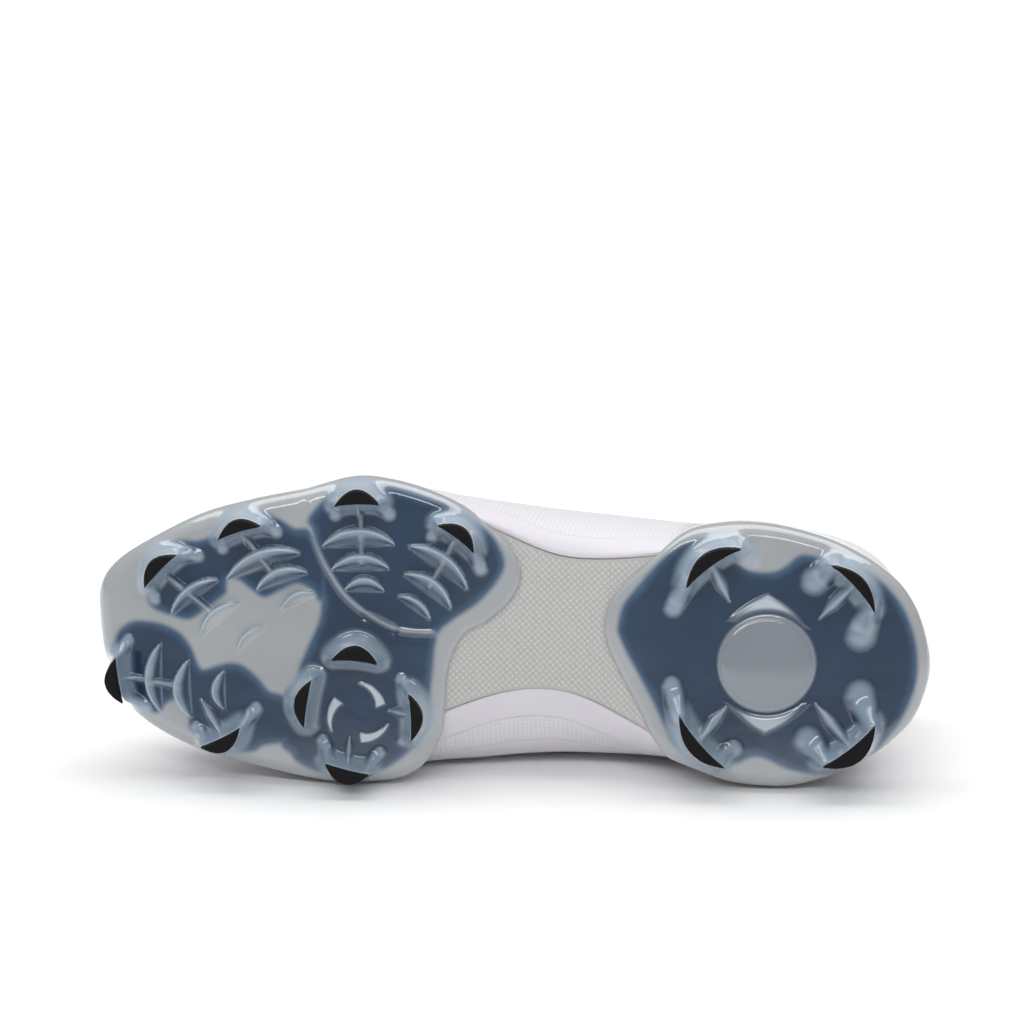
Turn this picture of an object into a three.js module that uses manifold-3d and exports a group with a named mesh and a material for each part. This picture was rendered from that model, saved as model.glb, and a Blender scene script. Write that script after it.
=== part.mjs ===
// Left softball cleat, lying on its medial side with the sole facing the viewer.
// Shoe frame, mm: x from heel back to toe, y to the lateral side, z up from the plane of the stud ends.
import * as THREE from "three";
import Module from "manifold-3d";

const wasm = await Module();
wasm.setup();

// Sizes of the whole shoe
const SOLE_LENGTH = 275;
const BALL_WIDTH = 102;
const HEEL_WIDTH = 87;
const HEEL_HEIGHT = 93;
const INSTEP_HEIGHT = 97;
const TOE_HEIGHT = 60;
const GAP = 0.3;

// Sole, from the ground up
const STUD_HEIGHT = 12;
const TIP_HEIGHT = 3.4;
const PLATE_THICKNESS = 2.2;
const FLANGE_RISE_FORE = 9;
const FLANGE_RISE_HEEL = 12;
const FLANGE_THICKNESS = 4.2;
const ROLL_RADIUS = 5;
const WAIST_EDGE_RADIUS = 1.5;
const MIDSOLE_HEEL_THICKNESS = 9;
const MIDSOLE_BALL_THICKNESS = 6;
const INSOLE_THICKNESS = 4;
const TOE_SPRING = 15;
const SPRING_START = 185;
const ARCH_RISE_MEDIAL = 8;
const ARCH_RISE_LATERAL = 4;
const ARCH_FROM = 78;
const ARCH_FULL_FROM = 116;
const ARCH_FULL_TO = 132;
const ARCH_TO = 172;

// Upper
const WALL_THICKNESS = 2.2;
const COLLAR_THICKNESS = 3;
const EYESTAY_THICKNESS = 1.2;
const EYESTAY_SHARE = 0.8;
const EYELET_PAIRS = 6;
const LACE_WIDTH = 6;
const LACE_THICKNESS = 1.3;
const LACE_CLEARANCE = 1;
const LACE_LIFT = 0.6;
const TONGUE_THICKNESS = 4;
const TONGUE_CLEARANCE = 0.6;

// Placing on the floor, degrees
const REST_ROLL = 8.7;
const REST_PITCH = 2.6;

// Facets
const LOOP_STEPS = 60;
const PROFILE = [0, 0.08, 0.16, 0.24, 0.32, 0.42, 0.54, 0.68, 0.84, 1];
const FORE_STEPS = 52;
const HEEL_STEPS = 42;

// Upper, one row a section round the loop. x is a share of the sole length, y of the named width,
// z of the named height. The side follows the curve of foot, low, high and edge.
const UPPER_ROWS = [
  {
    row: "heelBack", width: "heel", height: "heel",
    foot: [0.011, -0.009], low: [-0.018, -0.009, 0.452],
    high: [0.033, -0.009, 0.71], edge: [0.015, -0.006, 1],
  },
  {
    row: "heelCornerMedial", width: "heel", height: "heel",
    foot: [0.065, -0.356], low: [0.044, -0.414, 0.452],
    high: [0.069, -0.345, 0.731], edge: [0.051, -0.241, 0.978],
  },
  {
    row: "heelMedial", width: "heel", height: "heel",
    foot: [0.182, -0.474], low: [0.182, -0.517, 0.473],
    high: [0.175, -0.425, 0.688], edge: [0.153, -0.356, 0.817],
  },
  {
    row: "heelFrontMedial", width: "heel", height: "heel",
    foot: [0.298, -0.379], low: [0.298, -0.529, 0.409],
    high: [0.276, -0.46, 0.71], edge: [0.24, -0.374, 0.81],
  },
  {
    row: "waistMedial", width: "ball", height: "instep",
    foot: [0.436, -0.169], low: [0.444, -0.51, 0.247],
    high: [0.4, -0.451, 0.742], edge: [0.342, -0.26, 1],
  },
  {
    row: "ballBackMedial", width: "ball", height: "instep",
    foot: [0.564, -0.245], low: [0.575, -0.569, 0.268],
    high: [0.531, -0.451, 0.722], edge: [0.444, -0.201, 0.938],
  },
  {
    row: "ballMedial", width: "ball", height: "instep",
    foot: [0.691, -0.472], low: [0.691, -0.52, 0.392],
    high: [0.625, -0.431, 0.66], edge: [0.531, -0.157, 0.866],
  },
  {
    row: "toeMedial", width: "ball", height: "toe",
    foot: [0.865, -0.4], low: [0.865, -0.451, 0.733],
    high: [0.745, -0.353, 1.033], edge: [0.604, -0.103, 1.317],
  },
  {
    row: "toeCornerMedial", width: "ball", height: "toe",
    foot: [0.951, -0.263], low: [0.964, -0.304, 0.9],
    high: [0.829, -0.216, 1.08], edge: [0.633, -0.049, 1.275],
  },
  {
    row: "toeTip", width: "ball", height: "toe",
    foot: [0.986, -0.039], low: [1.007, -0.039, 1],
    high: [0.858, -0.02, 1.067], edge: [0.642, 0, 1.26],
  },
  {
    row: "toeCornerLateral", width: "ball", height: "toe",
    foot: [0.953, 0.145], low: [0.967, 0.196, 0.883],
    high: [0.829, 0.167, 1.08], edge: [0.633, 0.049, 1.275],
  },
  {
    row: "toeLateral", width: "ball", height: "toe",
    foot: [0.871, 0.3], low: [0.873, 0.353, 0.717],
    high: [0.749, 0.294, 1.033], edge: [0.604, 0.103, 1.317],
  },
  {
    row: "ballLateral", width: "ball", height: "instep",
    foot: [0.691, 0.462], low: [0.691, 0.49, 0.371],
    high: [0.625, 0.412, 0.639], edge: [0.531, 0.157, 0.866],
  },
  {
    row: "ballBackLateral", width: "ball", height: "instep",
    foot: [0.553, 0.384], low: [0.56, 0.471, 0.309],
    high: [0.527, 0.431, 0.68], edge: [0.444, 0.201, 0.938],
  },
  {
    row: "waistLateral", width: "ball", height: "instep",
    foot: [0.436, 0.275], low: [0.436, 0.441, 0.268],
    high: [0.4, 0.412, 0.701], edge: [0.342, 0.26, 1],
  },
  {
    row: "heelFrontLateral", width: "heel", height: "heel",
    foot: [0.305, 0.374], low: [0.305, 0.483, 0.366],
    high: [0.28, 0.437, 0.667], edge: [0.24, 0.374, 0.79],
  },
  {
    row: "heelLateral", width: "heel", height: "heel",
    foot: [0.182, 0.452], low: [0.182, 0.494, 0.452],
    high: [0.175, 0.414, 0.667], edge: [0.153, 0.356, 0.806],
  },
  {
    row: "heelCornerLateral", width: "heel", height: "heel",
    foot: [0.065, 0.324], low: [0.044, 0.379, 0.452],
    high: [0.069, 0.322, 0.731], edge: [0.051, 0.23, 0.978],
  },
];
const THROAT_TOP_ROW = 4;
const THROAT_FRONT_ROW = 9;

// Plan outlines of the two outsole plates: x share of the sole length, y share of the width, and rim,
// which is 1 where the edge rolls up the side of the upper and 0 where it ends thin on the waist.
const FORE_OUTLINE = [
  [0.998, -0.04, 1], [0.988, -0.169, 1], [0.963, -0.29, 1], [0.924, -0.37, 1], [0.862, -0.434, 1],
  [0.795, -0.468, 1], [0.738, -0.492, 1], [0.691, -0.503, 1], [0.648, -0.491, 1], [0.615, -0.467, 0.8],
  [0.591, -0.412, 0.4], [0.576, -0.324, 0], [0.573, -0.216, 0], [0.572, -0.108, 0], [0.556, 0.003, 0],
  [0.529, 0.049, 0], [0.503, 0.118, 0], [0.492, 0.196, 0], [0.502, 0.279, 0.2], [0.527, 0.348, 0.6],
  [0.564, 0.418, 0.9], [0.604, 0.463, 1], [0.653, 0.493, 1], [0.698, 0.495, 1], [0.756, 0.445, 1],
  [0.815, 0.398, 1], [0.873, 0.335, 1], [0.925, 0.241, 1], [0.967, 0.159, 1], [0.991, 0.078, 1],
];
const HEEL_OUTLINE = [
  [-0.005, -0.013, 1], [0.001, 0.086, 1], [0.016, 0.202, 1], [0.039, 0.297, 1], [0.075, 0.378, 1],
  [0.115, 0.436, 1], [0.155, 0.47, 1], [0.195, 0.49, 1], [0.233, 0.491, 1], [0.272, 0.472, 0.9],
  [0.297, 0.445, 0.7], [0.317, 0.395, 0.4], [0.349, 0.287, 0], [0.377, 0.186, 0], [0.388, 0.092, 0],
  [0.383, -0.011, 0], [0.361, -0.138, 0], [0.341, -0.241, 0], [0.326, -0.331, 0.2], [0.306, -0.413, 0.6],
  [0.285, -0.444, 0.9], [0.258, -0.474, 1], [0.226, -0.502, 1], [0.186, -0.51, 1], [0.148, -0.5, 1],
  [0.106, -0.457, 1], [0.071, -0.401, 1], [0.039, -0.322, 1], [0.012, -0.224, 1], [-0.001, -0.114, 1],
];

// Studs: place of the middle of the straight side, outward direction in degrees, chord and bulge in mm
const STUDS = [
  { name: "toe_lateral", plate: "fore", x: 0.921, y: 0.158, turn: 41, chord: 14.6, bulge: 4.5 },
  { name: "lateral_front", plate: "fore", x: 0.828, y: 0.303, turn: 69, chord: 14.3, bulge: 4.3 },
  { name: "lateral_middle", plate: "fore", x: 0.69, y: 0.417, turn: 85, chord: 14.2, bulge: 4.9 },
  { name: "lateral_back", plate: "fore", x: 0.571, y: 0.326, turn: 124, chord: 14.3, bulge: 4.3 },
  { name: "toe_medial", plate: "fore", x: 0.966, y: -0.209, turn: -12, chord: 14.8, bulge: 4.5 },
  { name: "medial_front", plate: "fore", x: 0.839, y: -0.363, turn: -119, chord: 13.8, bulge: 4.7 },
  { name: "pivot_top", plate: "fore", x: 0.683, y: -0.085, turn: 92, chord: 14.4, bulge: 4.9 },
  { name: "pivot_front", plate: "fore", x: 0.736, y: -0.231, turn: 6, chord: 15.2, bulge: 4.3 },
  { name: "pivot_back", plate: "fore", x: 0.614, y: -0.257, turn: 174, chord: 15.2, bulge: 4.1 },
  { name: "pivot_side", plate: "fore", x: 0.685, y: -0.436, turn: -79, chord: 14.4, bulge: 4.6 },
  { name: "heel_front_lateral", plate: "heel", x: 0.265, y: 0.33, turn: 51, chord: 21.4, bulge: 5.3 },
  { name: "heel_back_lateral", plate: "heel", x: 0.099, y: 0.28, turn: 134, chord: 20.8, bulge: 4.6 },
  { name: "heel_front_medial", plate: "heel", x: 0.266, y: -0.329, turn: -44, chord: 22.1, bulge: 5 },
  { name: "heel_back_medial", plate: "heel", x: 0.091, y: -0.315, turn: -132, chord: 21.3, bulge: 5.6 },
];

// Crescent ribs: place of the middle of the chord, outward direction, chord, bulge, height, width
const RIBS = [
  { plate: "fore", x: 0.687, y: 0.279, turn: 85, chord: 23.9, bulge: 5, height: 4, width: 5 },
  { plate: "fore", x: 0.683, y: 0.202, turn: 86, chord: 19.2, bulge: 4.4, height: 3.6, width: 4.4 },
  { plate: "fore", x: 0.677, y: 0.135, turn: 88, chord: 12.9, bulge: 3.8, height: 3, width: 3.8 },
  { plate: "fore", x: 0.591, y: 0.219, turn: 124, chord: 24.4, bulge: 4.6, height: 4, width: 5 },
  { plate: "fore", x: 0.602, y: 0.141, turn: 124, chord: 19.5, bulge: 4.2, height: 3.6, width: 4.4 },
  { plate: "fore", x: 0.617, y: 0.087, turn: 123, chord: 13.1, bulge: 2.5, height: 3, width: 3.8 },
  { plate: "fore", x: 0.8, y: 0.189, turn: 66, chord: 26.6, bulge: 5, height: 4, width: 5 },
  { plate: "fore", x: 0.776, y: 0.146, turn: 67, chord: 18.2, bulge: 4, height: 3.6, width: 4.4 },
  { plate: "fore", x: 0.755, y: 0.085, turn: 61, chord: 12.7, bulge: 2.7, height: 3, width: 3.8 },
  { plate: "fore", x: 0.881, y: 0.073, turn: 50, chord: 20, bulge: 3.6, height: 4, width: 4.6 },
  { plate: "fore", x: 0.849, y: 0.006, turn: 46, chord: 17.6, bulge: 3.5, height: 3.4, width: 4 },
  { plate: "fore", x: 0.81, y: -0.049, turn: 45, chord: 12.5, bulge: 2.3, height: 2.4, width: 3.4 },
  { plate: "fore", x: 0.917, y: -0.201, turn: -4, chord: 23.2, bulge: 4.9, height: 4, width: 5 },
  { plate: "fore", x: 0.881, y: -0.228, turn: -6, chord: 19.3, bulge: 5.1, height: 3.4, width: 4.4 },
  { plate: "fore", x: 0.839, y: -0.223, turn: -4, chord: 13.3, bulge: 3.7, height: 2.8, width: 3.8 },
  { plate: "heel", x: 0.192, y: 0.1, turn: 90, chord: 26, bulge: 9.4, height: 1.6, width: 3 },
  { plate: "heel", x: 0.192, y: -0.165, turn: -90, chord: 26, bulge: 9.4, height: 1.6, width: 3 },
];

// Straight bars that join a stud to the ribs behind it: from, to, both as shares
const BARS = [
  { plate: "fore", from: [0.686, 0.38], to: [0.679, 0.165] },
  { plate: "fore", from: [0.575, 0.3], to: [0.61, 0.11] },
  { plate: "fore", from: [0.822, 0.28], to: [0.775, 0.13] },
  { plate: "fore", from: [0.915, 0.135], to: [0.862, 0.035] },
  { plate: "fore", from: [0.955, -0.208], to: [0.86, -0.225] },
];
const BAR_WIDTH = 2.8;
const BAR_HEIGHT = 2.4;

// Tongue: middle line as shares of the sole length and the instep height, half width and section
// radius as shares of the ball width
const TONGUE_ROWS = [
  { at: "vamp", x: 0.7127, z: 0.7010, half: 0.1961, radius: 0.3333 },
  { at: "throatFront", x: 0.6327, z: 0.7680, half: 0.2451, radius: 0.3137 },
  { at: "lowInstep", x: 0.5455, z: 0.8711, half: 0.2843, radius: 0.2941 },
  { at: "instep", x: 0.4509, z: 0.9742, half: 0.3235, radius: 0.3039 },
  { at: "throatTop", x: 0.3564, z: 1.0825, half: 0.3235, radius: 0.3529 },
  { at: "top", x: 0.2982, z: 1.2062, half: 0.2941, radius: 0.3922 },
];

const FINISHES = {
  polyurethane: { color: 0x2c4663, roughness: 0.25, metalness: 0 },
  rubber: { color: 0x1a1a1b, roughness: 0.6, metalness: 0 },
  foam: { color: 0xc2c1bf, roughness: 0.8, metalness: 0 },
  synthetic: { color: 0xe9e6ea, roughness: 0.6, metalness: 0 },
  overlay: { color: 0xdcd9df, roughness: 0.5, metalness: 0 },
  lining: { color: 0xc9cbd0, roughness: 0.9, metalness: 0 },
  webbing: { color: 0xf2f1f2, roughness: 0.85, metalness: 0 },
};

function lerp(a, b, f) {
  return a + (b - a) * f;
}

function smooth(from, to, value) {
  const f = Math.min(1, Math.max(0, (value - from) / (to - from)));
  return f * f * (3 - 2 * f);
}

function add(a, b, scale = 1) {
  return [a[0] + b[0] * scale, a[1] + b[1] * scale, a[2] + b[2] * scale];
}

function cross(a, b) {
  return [a[1] * b[2] - a[2] * b[1], a[2] * b[0] - a[0] * b[2], a[0] * b[1] - a[1] * b[0]];
}

function unit(a) {
  const size = Math.hypot(...a) || 1;
  return a.map((value) => value / size);
}

// A smooth curve through the rows of a table, at place s counted in rows.
function curveAt(rows, s, closed) {
  const count = rows.length;
  const whole = Math.floor(s);
  const f = s - whole;
  const pick = (k) => {
    const wrapped = closed ? ((k % count) + count) % count : Math.min(count - 1, Math.max(0, k));
    return rows[wrapped];
  };
  const [a, b, c, d] = [pick(whole - 1), pick(whole), pick(whole + 1), pick(whole + 2)];
  return b.map((value, k) => {
    const slope = c[k] - a[k];
    const bend = 2 * a[k] - 5 * value + 4 * c[k] - d[k];
    const twist = 3 * value - a[k] - 3 * c[k] + d[k];
    return 0.5 * (2 * value + slope * f + bend * f * f + twist * f * f * f);
  });
}

// Under side of the outsole: level under the foot, raised in the arch, swept up to the toe.
function soleBottom(x, y) {
  const spring = TOE_SPRING * Math.max(0, (x - SPRING_START) / (SOLE_LENGTH - SPRING_START)) ** 2;
  const side = Math.min(1, Math.max(0, 0.5 - y / BALL_WIDTH));
  const rise = lerp(ARCH_RISE_LATERAL, ARCH_RISE_MEDIAL, side);
  const along = smooth(ARCH_FROM, ARCH_FULL_FROM, x) * (1 - smooth(ARCH_FULL_TO, ARCH_TO, x));
  return STUD_HEIGHT + spring + rise * along;
}

function midsoleBottom(x, y) {
  return soleBottom(x, y) + PLATE_THICKNESS + GAP;
}

function midsoleTop(x, y) {
  const thickness = lerp(MIDSOLE_HEEL_THICKNESS, MIDSOLE_BALL_THICKNESS, smooth(90, 190, x));
  return midsoleBottom(x, y) + thickness;
}

// A closed solid from a stack of rings with equal point counts. The ends are capped, or with ends
// "loop" the last ring joins the first. Ends "long" cap a long narrow ring with short triangles.
function solidFromRings(rings, ends = "flat") {
  const loop = ends === "loop";
  const count = rings[0].length;
  const points = rings.flat();
  const faces = [];
  const bands = loop ? rings.length : rings.length - 1;
  const reach = (p, q) => Math.hypot(...add(points[p], points[q], -1));
  for (let j = 0; j < bands; j++) {
    const next = (j + 1) % rings.length;
    for (let i = 0; i < count; i++) {
      const a = j * count + i;
      const b = j * count + ((i + 1) % count);
      const c = next * count + ((i + 1) % count);
      const d = next * count + i;
      if (reach(a, c) <= reach(b, d)) faces.push([a, b, c], [a, c, d]);
      else faces.push([a, b, d], [b, c, d]);
    }
  }
  if (!loop) {
    const cap = ends === "long" ? longCapFaces : capFaces;
    faces.push(...cap(rings[0], 0, true));
    faces.push(...cap(rings[rings.length - 1], (rings.length - 1) * count, false));
  }
  let volume = 0;
  for (const [a, b, c] of faces) {
    const n = cross(points[b], points[c]);
    volume += points[a][0] * n[0] + points[a][1] * n[1] + points[a][2] * n[2];
  }
  const ordered = volume < 0 ? faces.map(([a, b, c]) => [a, c, b]) : faces;
  return new wasm.Manifold(
    new wasm.Mesh({
      numProp: 3,
      vertProperties: new Float32Array(points.flat()),
      triVerts: new Uint32Array(ordered.flat()),
    }),
  );
}

function capFaces(ring, first, reversed) {
  let normal = [0, 0, 0];
  ring.forEach((p, i) => {
    normal = add(normal, cross(p, ring[(i + 1) % ring.length]));
  });
  normal = unit(normal);
  const across = unit(cross(normal, Math.abs(normal[2]) < 0.9 ? [0, 0, 1] : [1, 0, 0]));
  const up = cross(normal, across);
  const flat = ring.map((p) => {
    const u = p[0] * across[0] + p[1] * across[1] + p[2] * across[2];
    const v = p[0] * up[0] + p[1] * up[1] + p[2] * up[2];
    return new THREE.Vector2(u, v);
  });
  return THREE.ShapeUtils.triangulateShape(flat, []).map(([a, b, c]) => {
    const [p, q, r] = [flat[a], flat[b], flat[c]];
    const area = (q.x - p.x) * (r.y - p.y) - (q.y - p.y) * (r.x - p.x);
    const turned = area < 0 ? [a, c, b] : [a, b, c];
    const placed = turned.map((k) => k + first);
    return reversed ? placed.reverse() : placed;
  });
}

// Cap of a ring that runs out and back along x, triangle by triangle from one end to the other.
function longCapFaces(ring, first, reversed) {
  const count = ring.length;
  let [low, high] = [0, 0];
  ring.forEach((p, i) => {
    if (p[0] < ring[low][0]) low = i;
    if (p[0] > ring[high][0]) high = i;
  });
  const out = [low];
  while (out[out.length - 1] !== high) out.push((out[out.length - 1] + 1) % count);
  const back = [low];
  while (back[back.length - 1] !== high) back.push((back[back.length - 1] + count - 1) % count);
  const faces = [];
  let [i, j] = [0, 0];
  while (i < out.length - 1 || j < back.length - 1) {
    const [outX, backX] = [out[i + 1], back[j + 1]].map((k) => (k === undefined ? Infinity : ring[k][0]));
    const stepOut = outX <= backX;
    const third = stepOut ? out[i + 1] : back[j + 1];
    if (out[i] !== back[j] && third !== out[i] && third !== back[j]) {
      faces.push([out[i], third, back[j]]);
    }
    if (stepOut) i += 1;
    else j += 1;
  }
  return faces.map((face) => {
    const placed = face.map((k) => k + first);
    return reversed ? placed.reverse() : placed;
  });
}

function joined(solids) {
  return solids.reduce((whole, piece) => whole.add(piece));
}

// Upper

const WIDTHS = { ball: BALL_WIDTH, heel: HEEL_WIDTH };
const HEIGHTS = { heel: HEEL_HEIGHT, instep: INSTEP_HEIGHT, toe: TOE_HEIGHT };
const UPPER_TABLE = UPPER_ROWS.map(({ width, height, foot, low, high, edge }) => {
  const place = (p) => [p[0] * SOLE_LENGTH, p[1] * WIDTHS[width], p[2] * HEIGHTS[height]];
  return [foot[0] * SOLE_LENGTH, foot[1] * WIDTHS[width], ...place(low), ...place(high), ...place(edge)];
});

// Outer face of the upper: t counts rows round the loop, u runs from foot to edge.
function upperFace(t, u) {
  const row = curveAt(UPPER_TABLE, t, true);
  const foot = [row[0], row[1], midsoleBottom(row[0], row[1])];
  const [low, high, edge] = [row.slice(2, 5), row.slice(5, 8), row.slice(8, 11)];
  const v = 1 - u;
  return foot.map((value, k) => {
    return v * v * v * value + 3 * v * v * u * low[k] + 3 * v * u * u * high[k] + u * u * u * edge[k];
  });
}

// The same face moved in by depth along its own normal.
function upperAt(t, u, depth) {
  const step = 0.02;
  const along = add(upperFace(t + step, u), upperFace(t - step, u), -1);
  const rise = add(upperFace(t, Math.min(1, u + step)), upperFace(t, Math.max(0, u - step)), -1);
  return add(upperFace(t, u), unit(cross(along, rise)), -depth);
}

function wallAt(t, u) {
  const fromBack = Math.min(t, UPPER_ROWS.length - t);
  const collar = (1 - smooth(THROAT_TOP_ROW - 1, THROAT_TOP_ROW, fromBack)) * smooth(0.6, 1, u);
  return lerp(WALL_THICKNESS, COLLAR_THICKNESS, collar);
}

const LOOP = Array.from({ length: LOOP_STEPS }, (_, i) => (i * UPPER_ROWS.length) / LOOP_STEPS);

// The wall of the upper, larger by the clearance on every side.
function upperWall(clearance) {
  const rings = LOOP.map((t) => {
    const faceAt = (u, depth) => {
      const run = unit(add(upperFace(t, Math.min(1, u + 0.02)), upperFace(t, Math.max(0, u - 0.02)), -1));
      const past = u === 1 ? clearance : u === 0 ? -clearance : 0;
      return add(upperAt(t, u, depth), run, past);
    };
    const outer = PROFILE.map((u) => faceAt(u, -clearance));
    const inner = PROFILE.map((u) => faceAt(u, wallAt(t, u) + clearance)).reverse();
    return [...outer, ...inner];
  });
  return solidFromRings(rings, "loop");
}

function largestBody(solid) {
  return solid.decompose().sort((a, b) => b.volume() - a.volume())[0];
}

// Middle line of the foot bed, to which the rings of the sole pieces shrink.
function footSpine(p) {
  const x = Math.min(232, Math.max(42, p[0]));
  return [x, lerp(-1, 5, smooth(60, 120, x)) - lerp(0, 7, smooth(125, 200, x))];
}

function shrunk(ring, share, spine, height) {
  return ring.map((p) => {
    const middle = spine(p);
    const x = lerp(p[0], middle[0], share);
    const y = lerp(p[1], middle[1], share);
    return [x, y, height(x, y)];
  });
}

// A place on the inner facets of the upper, less the gap.
function insideAt(t, u) {
  const next = Math.max(1, PROFILE.findIndex((value) => value >= u));
  const [from, to] = [PROFILE[next - 1], PROFILE[next]];
  const [p, q] = [from, to].map((value) => upperAt(t, value, WALL_THICKNESS + GAP));
  const f = (u - from) / (to - from);
  return p.map((value, k) => lerp(value, q[k], f));
}

// Ring where the inside of the upper, less the gap, meets the height given.
function insideRing(height) {
  return LOOP.map((t) => {
    let [from, to] = [0, 0.6];
    for (let k = 0; k < 24; k++) {
      const u = (from + to) / 2;
      const p = insideAt(t, u);
      if (p[2] < height(p[0], p[1])) from = u;
      else to = u;
    }
    return { t, u: from, point: insideAt(t, from) };
  });
}

function makeMidsole() {
  const top = insideRing(midsoleTop);
  const topRing = top.map(({ point }) => [point[0], point[1], midsoleTop(point[0], point[1])]);
  const side = (share) => top.map(({ t, u }) => insideAt(t, u * share));
  const foot = side(0);
  const bottom = foot.map((p) => {
    const middle = footSpine(p);
    const far = Math.hypot(middle[0] - p[0], middle[1] - p[1]);
    const x = lerp(p[0], middle[0], (GAP + 0.1) / far);
    const y = lerp(p[1], middle[1], (GAP + 0.1) / far);
    return [x, y, midsoleBottom(x, y)];
  });
  return solidFromRings([
    shrunk(bottom, 0.75, footSpine, midsoleBottom),
    shrunk(bottom, 0.35, footSpine, midsoleBottom),
    bottom,
    foot,
    side(0.35),
    side(0.7),
    topRing,
    shrunk(topRing, 0.4, footSpine, midsoleTop),
    shrunk(topRing, 0.75, footSpine, midsoleTop),
  ], "long");
}

function makeInsole() {
  const under = (x, y) => midsoleTop(x, y) + GAP;
  const over = (x, y) => midsoleTop(x, y) + GAP + INSOLE_THICKNESS;
  const ringAt = (height) => insideRing(height).map(({ point: [x, y] }) => [x, y, height(x, y)]);
  const low = ringAt(under);
  const high = ringAt(over);
  return solidFromRings([
    shrunk(low, 0.75, footSpine, under),
    shrunk(low, 0.4, footSpine, under),
    low,
    high,
    shrunk(high, 0.5, footSpine, over),
  ], "long");
}

// The room the upper takes above the plates, gap included, used to cut their rims.
function makeUpperRoom() {
  const ringAt = (u) => LOOP.map((t) => upperAt(t, u, -GAP));
  const foot = ringAt(0);
  return solidFromRings([
    shrunk(foot, 0.75, footSpine, midsoleBottom),
    shrunk(foot, 0.35, footSpine, midsoleBottom),
    foot,
    ...[0.04, 0.1, 0.18, 0.28, 0.4].map(ringAt),
  ], "long");
}

// Outsole plates

function plateBlank(outline, width, rise, spine, steps) {
  const rows = outline.map(([x, y, rim]) => [x * SOLE_LENGTH, y * width, rim]);
  const places = Array.from({ length: steps }, (_, i) => (i * rows.length) / steps);
  const edge = places.map((s) => {
    const [x, y, rim] = curveAt(rows, s, true);
    const [ahead, behind] = [curveAt(rows, s + 0.05, true), curveAt(rows, s - 0.05, true)];
    const run = unit([ahead[0] - behind[0], ahead[1] - behind[1], 0]);
    const middle = spine([x, y]);
    let inward = [-run[1], run[0]];
    if (inward[0] * (middle[0] - x) + inward[1] * (middle[1] - y) < 0) inward = [run[1], -run[0]];
    return { x, y, inward, rim: Math.min(1, Math.max(0, rim)) };
  });
  const ringAt = (profile) => edge.map(({ x, y, inward, rim }) => {
    const [depth, height] = profile(rim);
    const px = x + inward[0] * depth;
    const py = y + inward[1] * depth;
    return [px, py, soleBottom(px, py) + height];
  });
  const radius = (rim) => lerp(WAIST_EDGE_RADIUS, ROLL_RADIUS, rim);
  const top = (rim) => lerp(PLATE_THICKNESS, rise, rim);
  const flange = (rim) => lerp(0.9, FLANGE_THICKNESS, rim);
  const arc = (degrees) => ringAt((rim) => {
    const angle = (degrees * Math.PI) / 180;
    return [radius(rim) * (1 - Math.cos(angle)), radius(rim) * (1 - Math.sin(angle))];
  });
  const floorRing = ringAt((rim) => [flange(rim) + 0.6, PLATE_THICKNESS]);
  const bottomRing = arc(90);
  const floor = (x, y) => soleBottom(x, y) + PLATE_THICKNESS;
  return solidFromRings([
    shrunk(floorRing, 0.8, spine, floor),
    shrunk(floorRing, 0.4, spine, floor),
    floorRing,
    ringAt((rim) => [flange(rim), top(rim)]),
    ringAt((rim) => [0.5, top(rim)]),
    ringAt((rim) => [0, top(rim) - 0.5]),
    arc(10),
    arc(45),
    bottomRing,
    shrunk(bottomRing, 0.4, spine, soleBottom),
    shrunk(bottomRing, 0.8, spine, soleBottom),
  ], "long");
}

// Plan of a stud: a bow on the outer side, the chord on the inner side, grown outward, with legs that
// run back from both ends of the chord.
function studPlan({ chord, bulge }, grow, leg) {
  const half = chord / 2 + grow;
  const bow = bulge + grow;
  const plan = [];
  for (let k = 0; k <= 5; k++) {
    const angle = Math.PI * (k / 5);
    const across = half * Math.cos(angle);
    plan.push([bow * (1 - (across / half) ** 2), across]);
  }
  plan.push([-leg, -half * 0.96]);
  plan.push([-leg * 0.9, -half * 0.62]);
  plan.push([-grow * 0.35 - 0.2, -half * 0.3]);
  plan.push([-grow * 0.35 - 0.2, half * 0.3]);
  plan.push([-leg * 0.9, half * 0.62]);
  plan.push([-leg, half * 0.96]);
  return plan;
}

function studPlace(stud) {
  const width = stud.plate === "heel" ? HEEL_WIDTH : BALL_WIDTH;
  const [x, y] = [stud.x * SOLE_LENGTH, stud.y * width];
  const angle = (stud.turn * Math.PI) / 180;
  const lift = soleBottom(x, y) - STUD_HEIGHT;
  return (out, across, z, follow) => {
    const px = x + out * Math.cos(angle) - across * Math.sin(angle);
    const py = y + out * Math.sin(angle) + across * Math.cos(angle);
    const rise = lerp(lift, soleBottom(px, py) - STUD_HEIGHT, follow);
    return [px, py, z + rise];
  };
}

function studRings(stud, levels) {
  const place = studPlace(stud);
  return levels.map(([z, grow, leg, follow]) => {
    return studPlan(stud, grow, leg).map(([out, across]) => place(out, across, z, follow));
  });
}

function makeStudBody(stud) {
  return solidFromRings(studRings(stud, [
    [TIP_HEIGHT + GAP, 0.2, 0.7, 0],
    [STUD_HEIGHT * 0.8, 1.2, 2.4, 0.8],
    [STUD_HEIGHT + PLATE_THICKNESS * 0.5, 3.4, 7, 1],
  ]));
}

function makeStudTip(stud) {
  return solidFromRings(studRings(stud, [
    [0, -0.35, 0.2, 0],
    [0.5, 0, 0.5, 0],
    [TIP_HEIGHT, 0.15, 0.65, 0],
  ]));
}

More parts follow.
